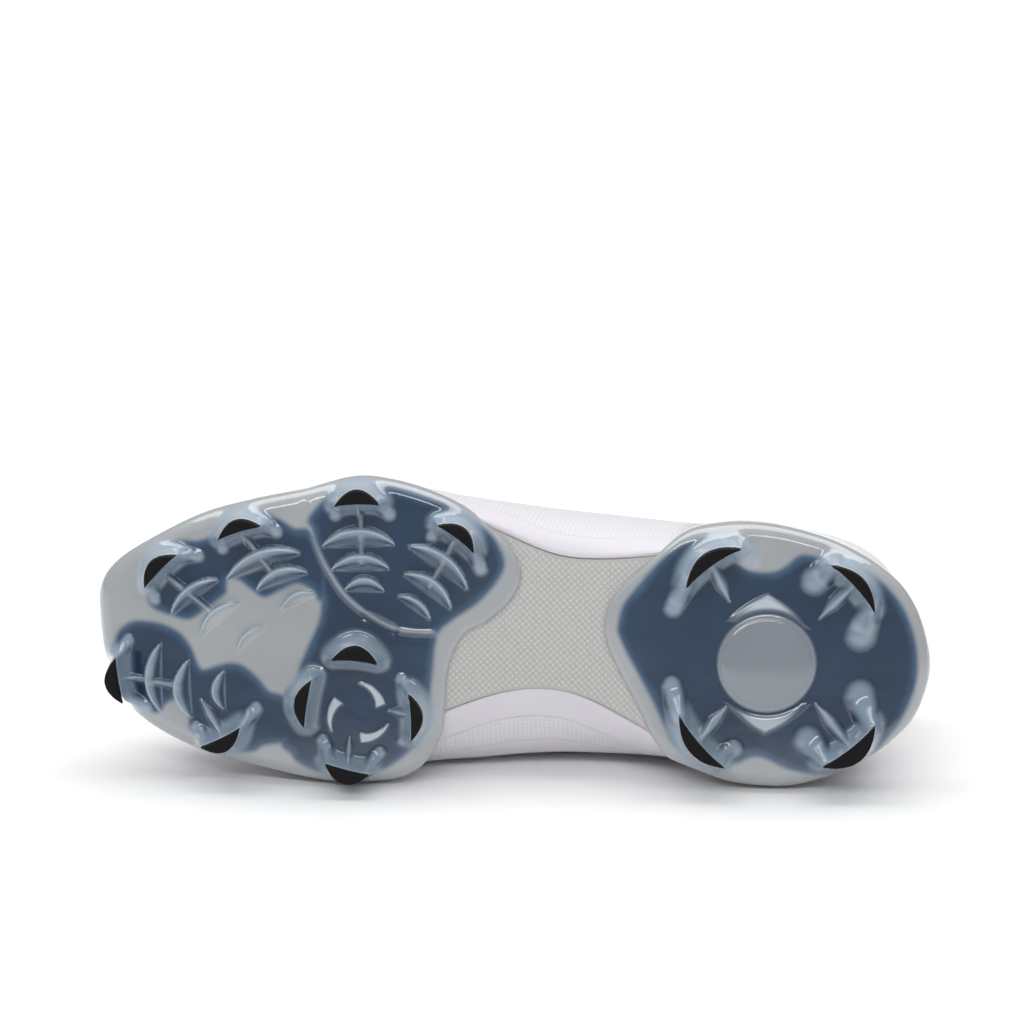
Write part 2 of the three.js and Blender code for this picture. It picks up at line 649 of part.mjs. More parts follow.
// A fin that runs in from the middle of the stud.
function makeStudFin(stud) {
  const place = studPlace(stud);
  const reach = stud.plate === "heel" ? 8 : 6.5;
  const rings = [[1.5, 0.62], [-reach, 0.98]].map(([out, level]) => {
    const z = STUD_HEIGHT * level;
    const base = STUD_HEIGHT + PLATE_THICKNESS * 0.5;
    return [
      place(out, -1.9, base, 1),
      place(out, -0.7, z, 1),
      place(out, 0.7, z, 1),
      place(out, 1.9, base, 1),
    ];
  });
  return solidFromRings(rings);
}

function makeRib(rib) {
  const place = studPlace(rib);
  const rings = [];
  for (let k = 0; k <= 4; k++) {
    const s = (k / 4) * 2 - 1;
    const across = (s * rib.chord) / 2;
    const out = rib.bulge * (1 - s * s);
    const full = 1 - s ** 4 * 0.85;
    const half = (rib.width / 2) * full;
    const lean = Math.atan2(2 * rib.bulge * s, rib.chord / 2);
    const [side, back] = [Math.sin(lean), Math.cos(lean)];
    const crest = -rib.height * full;
    const section = [[-half, 1.1], [-half * 0.25, crest], [half * 0.35, crest], [half, 1.1]];
    rings.push(section.map(([w, h]) => {
      return place(out + w * back, across + w * side, STUD_HEIGHT + h, 1);
    }));
  }
  return solidFromRings(rings);
}

function makeBar(bar) {
  const from = [bar.from[0] * SOLE_LENGTH, bar.from[1] * BALL_WIDTH];
  const to = [bar.to[0] * SOLE_LENGTH, bar.to[1] * BALL_WIDTH];
  const run = unit([to[0] - from[0], to[1] - from[1], 0]);
  const rings = [from, to].map(([x, y]) => {
    const [half, crest] = [BAR_WIDTH / 2, BAR_WIDTH * 0.2];
    const corners = [[-half, 1.1], [-crest, -BAR_HEIGHT], [crest, -BAR_HEIGHT], [half, 1.1]];
    return corners.map(([w, h]) => {
      const px = x - run[1] * w;
      const py = y + run[0] * w;
      return [px, py, soleBottom(px, py) + h];
    });
  });
  return solidFromRings(rings);
}

function foreSpine(p) {
  const x = Math.min(232, Math.max(168, p[0]));
  return [x, lerp(-5, -3, (x - 168) / 64)];
}

function heelSpine(p) {
  return [Math.min(72, Math.max(40, p[0])), -1];
}

function makePlate(name, blank) {
  const mine = (list) => list.filter((item) => item.plate === name);
  const whole = joined([
    blank,
    ...mine(STUDS).map(makeStudBody),
    ...mine(STUDS).map(makeStudFin),
    ...mine(RIBS).map(makeRib),
    ...mine(BARS).map(makeBar),
  ]);
  const midsoleRoom = makeMidsole().translate([0, 0, -GAP / 2]);
  return largestBody(whole.subtract(makeUpperRoom()).subtract(midsoleRoom));
}

// Eyestay: a band on the upper round the throat, larger by the clearance.
function makeEyestay(clearance) {
  const from = THROAT_TOP_ROW + 0.2;
  const to = UPPER_ROWS.length - THROAT_TOP_ROW - 0.2;
  const places = Array.from({ length: 31 }, (_, i) => lerp(from, to, i / 30));
  if (clearance) {
    places.unshift(from - clearance * 0.1);
    places.push(to + clearance * 0.1);
  }
  const shares = [EYESTAY_SHARE, 0.87, 0.93, 0.985];
  const rings = places.map((t) => {
    const faceAt = (u, depth) => {
      const run = unit(add(upperFace(t, u + 0.01), upperFace(t, u - 0.01), -1));
      return add(upperAt(t, u, depth), run, u > 0.95 ? clearance : 0);
    };
    const under = shares.map((u) => faceAt(u, -GAP + clearance));
    const over = shares.map((u) => faceAt(u, -GAP - EYESTAY_THICKNESS - clearance)).reverse();
    return [...under, ...over];
  });
  return solidFromRings(rings);
}

const TONGUE_TABLE = TONGUE_ROWS.map(({ x, z, half, radius }) => {
  return [x * SOLE_LENGTH, z * INSTEP_HEIGHT, half * BALL_WIDTH, radius * BALL_WIDTH];
});

function tongueAt(s, across, depth) {
  const [x, z, half, radius] = curveAt(TONGUE_TABLE, s, false);
  const [ahead, behind] = [0.1, -0.1].map((step) => curveAt(TONGUE_TABLE, s + step, false));
  const run = unit([ahead[0] - behind[0], 0, ahead[1] - behind[1]]);
  const up = [-run[2], 0, run[0]].map((value) => (run[0] < 0 ? -value : value));
  const y = across * half;
  const drop = (y * y) / (2 * radius) + depth;
  return [x - up[0] * drop, y, z - up[2] * drop];
}

function makeTongue() {
  const last = TONGUE_ROWS.length - 1;
  const places = Array.from({ length: 11 }, (_, i) => (i * last) / 10);
  const steps = [-1, -0.7, -0.35, 0, 0.35, 0.7, 1];
  const rings = places.map((s) => {
    const over = steps.map((f) => tongueAt(s, f, 0));
    const under = steps.map((f) => tongueAt(s, f, TONGUE_THICKNESS * (1 - 0.6 * f ** 4))).reverse();
    return [...over, ...under];
  });
  const room = upperWall(TONGUE_CLEARANCE).add(makeEyestay(TONGUE_CLEARANCE));
  return largestBody(solidFromRings(rings).subtract(room));
}

// Eyelet places as rows t, evenly spaced along the throat edge.
function eyeletRows() {
  const [from, to] = [THROAT_TOP_ROW + 0.35, THROAT_FRONT_ROW - 1.5];
  const samples = Array.from({ length: 61 }, (_, i) => lerp(from, to, i / 60));
  const run = [0];
  for (let i = 1; i < samples.length; i++) {
    const step = Math.hypot(...add(upperFace(samples[i], 0.92), upperFace(samples[i - 1], 0.92), -1));
    run.push(run[i - 1] + step);
  }
  return Array.from({ length: EYELET_PAIRS }, (_, k) => {
    const target = (run[run.length - 1] * k) / (EYELET_PAIRS - 1);
    const i = Math.min(samples.length - 1, run.findIndex((value) => value >= target - 1e-9));
    return samples[i];
  });
}

function tongueTop(x) {
  let [from, to] = [0, TONGUE_ROWS.length - 1];
  for (let k = 0; k < 24; k++) {
    const s = (from + to) / 2;
    if (tongueAt(s, 0, 0)[0] > x) from = s;
    else to = s;
  }
  return tongueAt(from, 0, 0)[2];
}

// One pass of lace from a medial eyelet over the tongue to a lateral one, lifted over its neighbours.
function makePass(medialRow, lateralRow, lift) {
  const clear = GAP + EYESTAY_THICKNESS + LACE_CLEARANCE + LACE_THICKNESS / 2 + lift;
  const t = [medialRow, UPPER_ROWS.length - lateralRow];
  const start = upperAt(t[0], 0.91, -clear);
  const startEdge = upperAt(t[0], 0.99, -clear);
  const endEdge = upperAt(t[1], 0.99, -clear);
  const end = upperAt(t[1], 0.91, -clear);
  const middle = [0, 1, 2].map((k) => (startEdge[k] + endEdge[k]) / 2);
  middle[2] = Math.max(middle[2], tongueTop(middle[0]) + LACE_THICKNESS / 2 + 1.2 + lift);
  const path = [start, startEdge, middle, endEdge, end];
  const faceNormal = (row) => unit(add(upperAt(row, 0.95, -1), upperAt(row, 0.95, 0), -1));
  const normals = [faceNormal(t[0]), faceNormal(t[0]), [0.35, 0, 1], faceNormal(t[1]), faceNormal(t[1])];
  const rings = Array.from({ length: 7 }, (_, i) => {
    const s = (i / 6) * (path.length - 1);
    const p = curveAt(path, s, false);
    const run = unit(add(curveAt(path, s + 0.1, false), curveAt(path, s - 0.1, false), -1));
    const side = unit(cross(run, curveAt(normals, s, false)));
    const up = cross(side, run);
    const corners = [[-0.5, -0.5], [0.5, -0.5], [0.5, 0.5], [-0.5, 0.5]];
    return corners.map(([a, b]) => add(add(p, side, a * LACE_WIDTH), up, b * LACE_THICKNESS));
  });
  return solidFromRings(rings);
}

function makeLaces() {
  const rows = eyeletRows();
  const passes = [makePass(rows[EYELET_PAIRS - 1], rows[EYELET_PAIRS - 1], LACE_LIFT / 2)];
  for (let k = 0; k < EYELET_PAIRS - 1; k++) {
    passes.push(makePass(rows[k], rows[k + 1], 0));
    passes.push(makePass(rows[k + 1], rows[k], LACE_LIFT));
  }
  return joined(passes);
}

// Assembly

const shoe = new THREE.Group();
shoe.name = "shoe";

function place(name, solid, finish, parent) {
  const made = solid.getMesh();
  const geometry = new THREE.BufferGeometry();
  geometry.setAttribute("position", new THREE.BufferAttribute(new Float32Array(made.vertProperties), 3));
  geometry.setIndex(new THREE.BufferAttribute(new Uint32Array(made.triVerts), 1));
  geometry.computeVertexNormals();
  const mesh = new THREE.Mesh(geometry, new THREE.MeshStandardMaterial(FINISHES[finish]));
  mesh.name = name;
  parent.add(mesh);
}

const sole = new THREE.Group();
sole.name = "sole";
shoe.add(sole);
place("midsole", makeMidsole(), "foam", sole);
place("insole", makeInsole(), "lining", sole);
const foreBlank = plateBlank(FORE_OUTLINE, BALL_WIDTH, FLANGE_RISE_FORE, foreSpine, FORE_STEPS);
const heelBlank = plateBlank(HEEL_OUTLINE, HEEL_WIDTH, FLANGE_RISE_HEEL, heelSpine, HEEL_STEPS);
place("forefoot_plate", makePlate("fore", foreBlank), "polyurethane", sole);
place("heel_plate", makePlate("heel", heelBlank), "polyurethane", sole);
for (const stud of STUDS) place("stud_tip_" + stud.name, makeStudTip(stud), "rubber", sole);

const top = new THREE.Group();
top.name = "top";
shoe.add(top);
place("upper", upperWall(0), "synthetic", top);
place("eyestay", makeEyestay(0), "overlay", top);
place("tongue", makeTongue(), "lining", top);
place("laces", makeLaces(), "webbing", top);

// The toe points to -X, the lateral side up and the sole to -Y.
const lay = new THREE.Matrix4().makeBasis(
  new THREE.Vector3(-1, 0, 0),
  new THREE.Vector3(0, 0, 1),
  new THREE.Vector3(0, 1, 0),
);
shoe.applyMatrix4(lay);
const tilt = new THREE.Group();
tilt.name = "tilt";
tilt.add(shoe);
tilt.rotation.set((-REST_ROLL * Math.PI) / 180, (REST_PITCH * Math.PI) / 180, 0);
const cleat = new THREE.Group();
cleat.name = "softball_cleat";
cleat.add(tilt);
cleat.updateMatrixWorld(true);
const box = new THREE.Box3().setFromObject(cleat, true);
tilt.position.set(-(box.min.x + box.max.x) / 2, -(box.min.y + box.max.y) / 2, -box.min.z);

export default cleat;
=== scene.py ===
"""Left softball cleat lying on its medial side, dressed for a studio picture.

Sizes are in millimetres in the shoe's own frame: x from heel back to toe, y to the lateral side and
z up from the plane of the stud ends. ShoeFrame turns them into metres in the row frame.
"""

import logging
import math
from dataclasses import dataclass
from enum import Enum

import bpy
import numpy as np
from mathutils import Matrix, Vector
from mathutils.bvhtree import BVHTree
from mathutils.geometry import delaunay_2d_cdt


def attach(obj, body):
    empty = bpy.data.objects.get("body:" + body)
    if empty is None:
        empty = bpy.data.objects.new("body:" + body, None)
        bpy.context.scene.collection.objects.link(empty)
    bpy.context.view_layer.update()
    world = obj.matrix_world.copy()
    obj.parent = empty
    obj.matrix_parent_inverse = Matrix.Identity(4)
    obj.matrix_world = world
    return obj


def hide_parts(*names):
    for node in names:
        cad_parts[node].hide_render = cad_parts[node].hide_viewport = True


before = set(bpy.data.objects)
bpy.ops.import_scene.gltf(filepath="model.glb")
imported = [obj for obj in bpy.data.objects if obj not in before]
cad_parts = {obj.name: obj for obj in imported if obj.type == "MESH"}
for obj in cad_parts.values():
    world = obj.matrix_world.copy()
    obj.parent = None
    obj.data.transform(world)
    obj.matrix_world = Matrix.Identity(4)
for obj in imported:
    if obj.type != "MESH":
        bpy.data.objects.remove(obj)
LOG = logging.getLogger("cleat")

Array = np.ndarray
Number = float | Array


# ---- Small maths

def lerp(a: Number, b: Number, f: Number) -> Number:
    """Value between a and b at the share f."""
    return a + (b - a) * f


def smooth(low: float, high: float, value: Number) -> Array:
    """Smooth step from 0 at low to 1 at high."""
    f = np.clip((np.asarray(value, float) - low) / (high - low), 0.0, 1.0)
    return f * f * (3.0 - 2.0 * f)


def unit(v: Array) -> Array:
    """Vectors of length one."""
    size = np.linalg.norm(v, axis=-1, keepdims=True)
    return v / np.where(size < 1e-12, 1.0, size)


def curve_at(table: Array, s: Array, closed: bool) -> Array:
    """Smooth curve through the rows of a table.

    Args:
        table: One row a point, any number of columns.
        s: Places on the curve, counted in rows.
        closed: True if the last row joins the first.

    Returns:
        The interpolated rows, with the shape of s and one more axis.
    """
    count = len(table)
    s = np.asarray(s, float)
    whole = np.floor(s).astype(int)
    f = (s - whole)[..., None]

    def pick(k: Array) -> Array:
        """Rows of the table by number."""
        return table[k % count] if closed else table[np.clip(k, 0, count - 1)]

    a, b, c, d = (pick(whole + k) for k in (-1, 0, 1, 2))
    bend = 2 * a - 5 * b + 4 * c - d
    twist = 3 * b - a - 3 * c + d
    return 0.5 * (2 * b + (c - a) * f + bend * f**2 + twist * f**3)


def polygon_distance(points: Array, polygon: Array) -> Array:
    """Distance from plan points to a closed polygon.

    Args:
        points: Plan points.
        polygon: Corners of the polygon.

    Returns:
        The distances, negative inside.
    """
    best = np.full(len(points), np.inf)
    inside = np.zeros(len(points), bool)
    for a, b in zip(polygon, np.roll(polygon, -1, axis=0)):
        edge = b - a
        rel = points - a
        share = np.clip(rel @ edge / max(edge @ edge, 1e-9), 0, 1)
        best = np.minimum(best, np.sum((rel - share[:, None] * edge) ** 2, axis=1))
        crosses = (a[1] > points[:, 1]) != (b[1] > points[:, 1])
        drop = b[1] - a[1] if abs(b[1] - a[1]) > 1e-12 else 1e-12
        inside ^= crosses & (points[:, 0] < a[0] + (points[:, 1] - a[1]) * edge[0] / drop)
    return np.where(inside, -1.0, 1.0) * np.sqrt(best)


def line_place(points: Array, line: Array) -> tuple[Array, Array]:
    """Nearest places of an open line to plan points.

    Args:
        points: Plan points.
        line: Points of the line.

    Returns:
        The distances, and the shares of the line's length at the nearest places.
    """
    best = np.full(len(points), np.inf)
    where = np.zeros(len(points))
    steps = np.linalg.norm(np.diff(line, axis=0), axis=1)
    run = np.concatenate([[0], np.cumsum(steps)])
    for k, (a, b) in enumerate(zip(line[:-1], line[1:])):
        edge = b - a
        rel = points - a
        share = np.clip(rel @ edge / max(edge @ edge, 1e-9), 0, 1)
        far = np.linalg.norm(rel - share[:, None] * edge, axis=1)
        nearer = far < best
        best = np.where(nearer, far, best)
        where = np.where(nearer, (run[k] + share * steps[k]) / run[-1], where)
    return best, where


def path_length(points: Array) -> Array:
    """Length along a line at each of its points."""
    return np.concatenate([[0], np.cumsum(np.linalg.norm(np.diff(points, axis=0), axis=1))])


def closed_curve(points: tuple, steps_each: int = 4) -> Array:
    """A closed smooth outline through plan points."""
    table = np.array(points, float)
    return curve_at(table, np.arange(len(table) * steps_each) / steps_each, True)


# ---- Frame, sole and upper forms

@dataclass(frozen=True)
class ShoeFrame:
    """Places the shoe in the row frame: on its medial side, the sole to -Y and the toe to -X."""

    roll: float = -8.7
    pitch: float = 2.6
    origin: tuple[float, float, float] = (136.5151, -55.3370, 45.2932)

    def matrix(self) -> Array:
        """Turning part of the placement."""
        a, b = math.radians(self.roll), math.radians(self.pitch)
        about_x = np.array([[1, 0, 0], [0, math.cos(a), -math.sin(a)], [0, math.sin(a), math.cos(a)]])
        about_y = np.array([[math.cos(b), 0, math.sin(b)], [0, 1, 0], [-math.sin(b), 0, math.cos(b)]])
        lay = np.array([[-1, 0, 0], [0, 0, 1], [0, 1, 0]])
        return about_x @ about_y @ lay

    def to_row(self, points: Array) -> Array:
        """Shoe millimetres to row metres."""
        return (np.asarray(points, float) @ self.matrix().T + np.array(self.origin)) / 1000.0


@dataclass(frozen=True)
class Sizes:
    """Named sizes of the shoe, in millimetres."""

    sole_length: float = 275.0
    ball_width: float = 102.0
    heel_width: float = 87.0
    heel_height: float = 93.0
    instep_height: float = 97.0
    toe_height: float = 60.0
    gap: float = 0.3
    stud_height: float = 12.0
    tip_height: float = 3.4
    plate_thickness: float = 2.2
    toe_spring: float = 15.0
    spring_start: float = 185.0
    arch_rise_medial: float = 8.0
    arch_rise_lateral: float = 4.0
    arch_from: float = 78.0
    arch_full_from: float = 116.0
    arch_full_to: float = 132.0
    arch_to: float = 172.0
    wall: float = 2.2
    collar: float = 3.0
    eyestay: float = 1.2
    eyestay_share: float = 0.8


@dataclass(frozen=True)
class SoleForm:
    """Heights of the sole over the plan of the shoe."""

    sizes: Sizes

    def bottom(self, x: Number, y: Number) -> Number:
        """Under side of the outsole.

        Args:
            x: Places along the shoe.
            y: Places across it.

        Returns:
            The heights.
        """
        s = self.sizes
        run = np.maximum(0, (x - s.spring_start) / (s.sole_length - s.spring_start))
        side = np.clip(0.5 - y / s.ball_width, 0, 1)
        rise = lerp(s.arch_rise_lateral, s.arch_rise_medial, side)
        along = smooth(s.arch_from, s.arch_full_from, x) * (1 - smooth(s.arch_full_to, s.arch_to, x))
        return s.stud_height + s.toe_spring * run**2 + rise * along

    def midsole_bottom(self, x: Number, y: Number) -> Number:
        """Under side of the midsole."""
        return self.bottom(x, y) + self.sizes.plate_thickness + self.sizes.gap


@dataclass
class UpperForm:
    """Outer face of the upper: t counts the section rows round the loop, u runs from foot to edge."""

    sizes: Sizes
    sole: SoleForm
    THROAT_TOP = 4
    THROAT_FRONT = 9
    # width, height, foot x y, low x y z, high x y z, edge x y z, as shares of the named sizes
    ROWS = (
        ("heel", "heel", 0.011, -0.009, -0.018, -0.009, 0.452, 0.033, -0.009, 0.71, 0.015, -0.006, 1),
        ("heel", "heel", 0.065, -0.356, 0.044, -0.414, 0.452, 0.069, -0.345, 0.731, 0.051, -0.241, 0.978),
        ("heel", "heel", 0.182, -0.474, 0.182, -0.517, 0.473, 0.175, -0.425, 0.688, 0.153, -0.356, 0.817),
        ("heel", "heel", 0.298, -0.379, 0.298, -0.529, 0.409, 0.276, -0.46, 0.71, 0.24, -0.374, 0.81),
        ("ball", "instep", 0.436, -0.169, 0.444, -0.51, 0.247, 0.4, -0.451, 0.742, 0.342, -0.26, 1),
        ("ball", "instep", 0.564, -0.245, 0.575, -0.569, 0.268, 0.531, -0.451, 0.722, 0.444, -0.201, 0.938),
        ("ball", "instep", 0.691, -0.472, 0.691, -0.52, 0.392, 0.625, -0.431, 0.66, 0.531, -0.157, 0.866),
        ("ball", "toe", 0.865, -0.4, 0.865, -0.451, 0.733, 0.745, -0.353, 1.033, 0.604, -0.103, 1.317),
        ("ball", "toe", 0.951, -0.263, 0.964, -0.304, 0.9, 0.829, -0.216, 1.08, 0.633, -0.049, 1.275),
        ("ball", "toe", 0.986, -0.039, 1.007, -0.039, 1, 0.858, -0.02, 1.067, 0.642, 0, 1.26),
        ("ball", "toe", 0.953, 0.145, 0.967, 0.196, 0.883, 0.829, 0.167, 1.08, 0.633, 0.049, 1.275),
        ("ball", "toe", 0.871, 0.3, 0.873, 0.353, 0.717, 0.749, 0.294, 1.033, 0.604, 0.103, 1.317),
        ("ball", "instep", 0.691, 0.462, 0.691, 0.49, 0.371, 0.625, 0.412, 0.639, 0.531, 0.157, 0.866),
        ("ball", "instep", 0.553, 0.384, 0.56, 0.471, 0.309, 0.527, 0.431, 0.68, 0.444, 0.201, 0.938),
        ("ball", "instep", 0.436, 0.275, 0.436, 0.441, 0.268, 0.4, 0.412, 0.701, 0.342, 0.26, 1),
        ("heel", "heel", 0.305, 0.374, 0.305, 0.483, 0.366, 0.28, 0.437, 0.667, 0.24, 0.374, 0.79),
        ("heel", "heel", 0.182, 0.452, 0.182, 0.494, 0.452, 0.175, 0.414, 0.667, 0.153, 0.356, 0.806),
        ("heel", "heel", 0.065, 0.324, 0.044, 0.379, 0.452, 0.069, 0.322, 0.731, 0.051, 0.23, 0.978),
    )

    def __post_init__(self) -> None:
        """Turns the shares to millimetres."""
        sizes = self.sizes
        self.count = len(self.ROWS)
        widths = {"ball": sizes.ball_width, "heel": sizes.heel_width}
        heights = {"heel": sizes.heel_height, "instep": sizes.instep_height, "toe": sizes.toe_height}
        scaled = []
        for width, height, *shares in self.ROWS:
            w, h, length = widths[width], heights[height], sizes.sole_length
            scaled.append(np.array(shares) * [length, w, *([length, w, h] * 3)])
        self.table = np.array(scaled)

    def face(self, t: Array, u: Array) -> Array:
        """Points of the outer face.

        Args:
            t: Rows round the loop.
            u: Shares from foot to edge.

        Returns:
            The points.
        """
        row = curve_at(self.table, t, True)
        foot_z = self.sole.midsole_bottom(row[..., 0], row[..., 1])
        foot = np.concatenate([row[..., :2], foot_z[..., None]], axis=-1)
        low, high, edge = row[..., 2:5], row[..., 5:8], row[..., 8:11]
        u = np.asarray(u, float)[..., None]
        v = 1 - u
        return v**3 * foot + 3 * v * v * u * low + 3 * v * u * u * high + u**3 * edge

    def normal(self, t: Array, u: Array) -> Array:
        """Outward normals of the face.

        Args:
            t: Rows round the loop.
            u: Shares from foot to edge.

        Returns:
            Vectors of length one.
        """
        step = 0.02
        along = self.face(t + step, u) - self.face(t - step, u)
        rise = self.face(t, np.minimum(1, u + step)) - self.face(t, np.maximum(0, u - step))
        return unit(np.cross(along, rise))

    def at(self, t: Array, u: Array, depth: Number) -> Array:
        """Points of the face moved in along its normal."""
        depth = np.asarray(depth, float)
        return self.face(t, u) - self.normal(t, u) * (depth[..., None] if depth.ndim else depth)

    def from_back(self, t: Array) -> Array:
        """Rows counted from the heel back, either way round."""
        t = np.mod(t, self.count)
        return np.minimum(t, self.count - t)

    def wall(self, t: Array, u: Array) -> Array:
        """Thickness of the wall, larger at the collar."""
        back = 1 - smooth(self.THROAT_TOP - 1, self.THROAT_TOP, self.from_back(t))
        return lerp(self.sizes.wall, self.sizes.collar, back * smooth(0.6, 1, u))


# ---- Mesh making

@dataclass(frozen=True)
class Maker:
    """Turns shoe-frame points into Blender objects that ride on the root body."""

    shoe_frame: ShoeFrame

    def mesh(self, name: str, points: Array, faces: Array | list, materials: list,
             slots: Array | None = None, values: dict[str, Array] | None = None) -> bpy.types.Object:
        """Builds one object.

        Args:
            name: Piece name.
            points: Shoe-frame points in millimetres.
            faces: Quads or triangles as point numbers; any mix of arrays.
            materials: Materials in slot order.
            slots: Material slot of each face.
            values: Point attributes by name.

        Returns:
            The object, smooth shaded, riding on the root body.
        """
        data = bpy.data.meshes.new(name)
        lists = faces.tolist() if isinstance(faces, np.ndarray) else [list(f) for f in faces]
        data.from_pydata(self.shoe_frame.to_row(points).tolist(), [], lists)
        data.update()
        data.shade_smooth()
        for material in materials:
            data.materials.append(material)
        if slots is not None:
            data.polygons.foreach_set("material_index", np.asarray(slots, np.int32))
        for key, numbers in (values or {}).items():
            layer = data.attributes.new(key, "FLOAT", "POINT")
            layer.data.foreach_set("value", np.asarray(numbers, np.float32))
        made = bpy.data.objects.new(name, data)
        bpy.context.scene.collection.objects.link(made)
        if self.volume(data) < 0:
            data.flip_normals()
        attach(made, "root")
        return made

    @staticmethod
    def volume(data: bpy.types.Mesh) -> float:
        """Six times the signed volume of a closed mesh.

        Args:
            data: The mesh.

        Returns:
            The volume, negative where the faces look inwards.
        """
        data.calc_loop_triangles()
        count = len(data.loop_triangles)
        corners = np.empty(count * 3, np.int32)
        data.loop_triangles.foreach_get("vertices", corners)
        spots = np.empty(len(data.vertices) * 3, np.float32)
        data.vertices.foreach_get("co", spots)
        tri = spots.reshape(-1, 3)[corners.reshape(-1, 3)]
        return float(np.einsum("ij,ij->i", tri[:, 0], np.cross(tri[:, 1], tri[:, 2])).sum())


def grid_quads(rows: int, columns: int, close_rows: bool = False, close_columns: bool = False) -> Array:
    """Quads between points laid row after row.

    Args:
        rows: Number of rows.
        columns: Points in a row.
        close_rows: True if the last row joins the first.
        close_columns: True if each row is a loop.

    Returns:
        Four point numbers a quad.
    """
    r = np.arange(rows if close_rows else rows - 1)
    c = np.arange(columns if close_columns else columns - 1)
    rr, cc = np.meshgrid(r, c, indexing="ij")
    r2, c2 = (rr + 1) % rows, (cc + 1) % columns
    quads = np.stack([rr * columns + cc, r2 * columns + cc, r2 * columns + c2, rr * columns + c2], axis=-1)
    return quads.reshape(-1, 4)


def ring_solid(rings: list[Array]) -> tuple[Array, list]:
    """A closed solid from a stack of rings, with a fan at each end.

    Args:
        rings: Rings of points, all with the same count.

    Returns:
        Points and faces; the last two points are the middles of the fans.
    """
    count = len(rings[0])
    points = np.vstack(rings + [rings[0].mean(axis=0)[None], rings[-1].mean(axis=0)[None]])
    faces = grid_quads(len(rings), count, close_columns=True).tolist()
    first, last = len(points) - 2, len(points) - 1
    base = (len(rings) - 1) * count
    for i in range(count):
        j = (i + 1) % count
        faces.append([i, j, first])
        faces.append([base + j, base + i, last])
    return points, faces


# ---- Materials

def linear(hex_code: str) -> tuple[float, float, float, float]:
    """Linear colour of an sRGB hex code."""
    parts = [int(hex_code[k:k + 2], 16) / 255 for k in (1, 3, 5)]
    return (*[v / 12.92 if v <= 0.04045 else ((v + 0.055) / 1.055) ** 2.4 for v in parts], 1.0)


def per_metre(size_mm: float) -> float:
    """Texture scale of a pattern whose waves or cells have this size."""
    return 1000.0 / size_mm


# Settings of the kinds of node that come back
MIX = {"kind": "Mix", "out": 2, "data_type": "RGBA"}
NOISE = {"kind": "TexNoise", "out": "Fac"}
BUMP = {"kind": "Bump", "out": "Normal"}
STEP = {"kind": "MapRange", "interpolation_type": "SMOOTHSTEP"}
ADD, SUBTRACT, MULTIPLY, MULTIPLY_ADD, SINE, ABSOLUTE = (
    {"kind": "Math", "operation": name}
    for name in ("ADD", "SUBTRACT", "MULTIPLY", "MULTIPLY_ADD", "SINE", "ABSOLUTE"))


class Nodes:
    """Node tree of one material."""

    def __init__(self, name: str) -> None:
        """Starts a material with this name."""
        self.material = bpy.data.materials.new(name)
        self.material.use_nodes = True
        self.tree = self.material.node_tree

    def add(self, inputs: dict, kind: str, out: str | int = 0, **settings: str) -> bpy.types.NodeSocket:
        """Adds one node with its settings and links.

        Args:
            inputs: A socket, a number or a hex colour for each input, by its name or number.
            kind: Type of the node, without the words that all types begin with.
            out: Output that is handed back.
            **settings: Attributes of the node.

        Returns:
            The output socket.
        """
        node = self.tree.nodes.new("ShaderNode" + kind)
        for key, value in settings.items():
            setattr(node, key, value)
        self.feed(node, inputs)
        return node.outputs[out]

    def feed(self, node: bpy.types.Node, inputs: dict) -> None:
        """Links the inputs of a node, or sets them.

        Args:
            node: The node.
            inputs: A socket, a number or a hex colour for each input.
        """
        for key, value in inputs.items():
            if isinstance(value, bpy.types.NodeSocket):
                self.tree.links.new(value, node.inputs[key])
            else:
                node.inputs[key].default_value = linear(value) if isinstance(value, str) else value

    def finish(self, inputs: dict) -> bpy.types.Material:
        """Feeds the Principled shader and hands back the material."""
        self.feed(self.tree.nodes["Principled BSDF"], inputs)
        return self.material


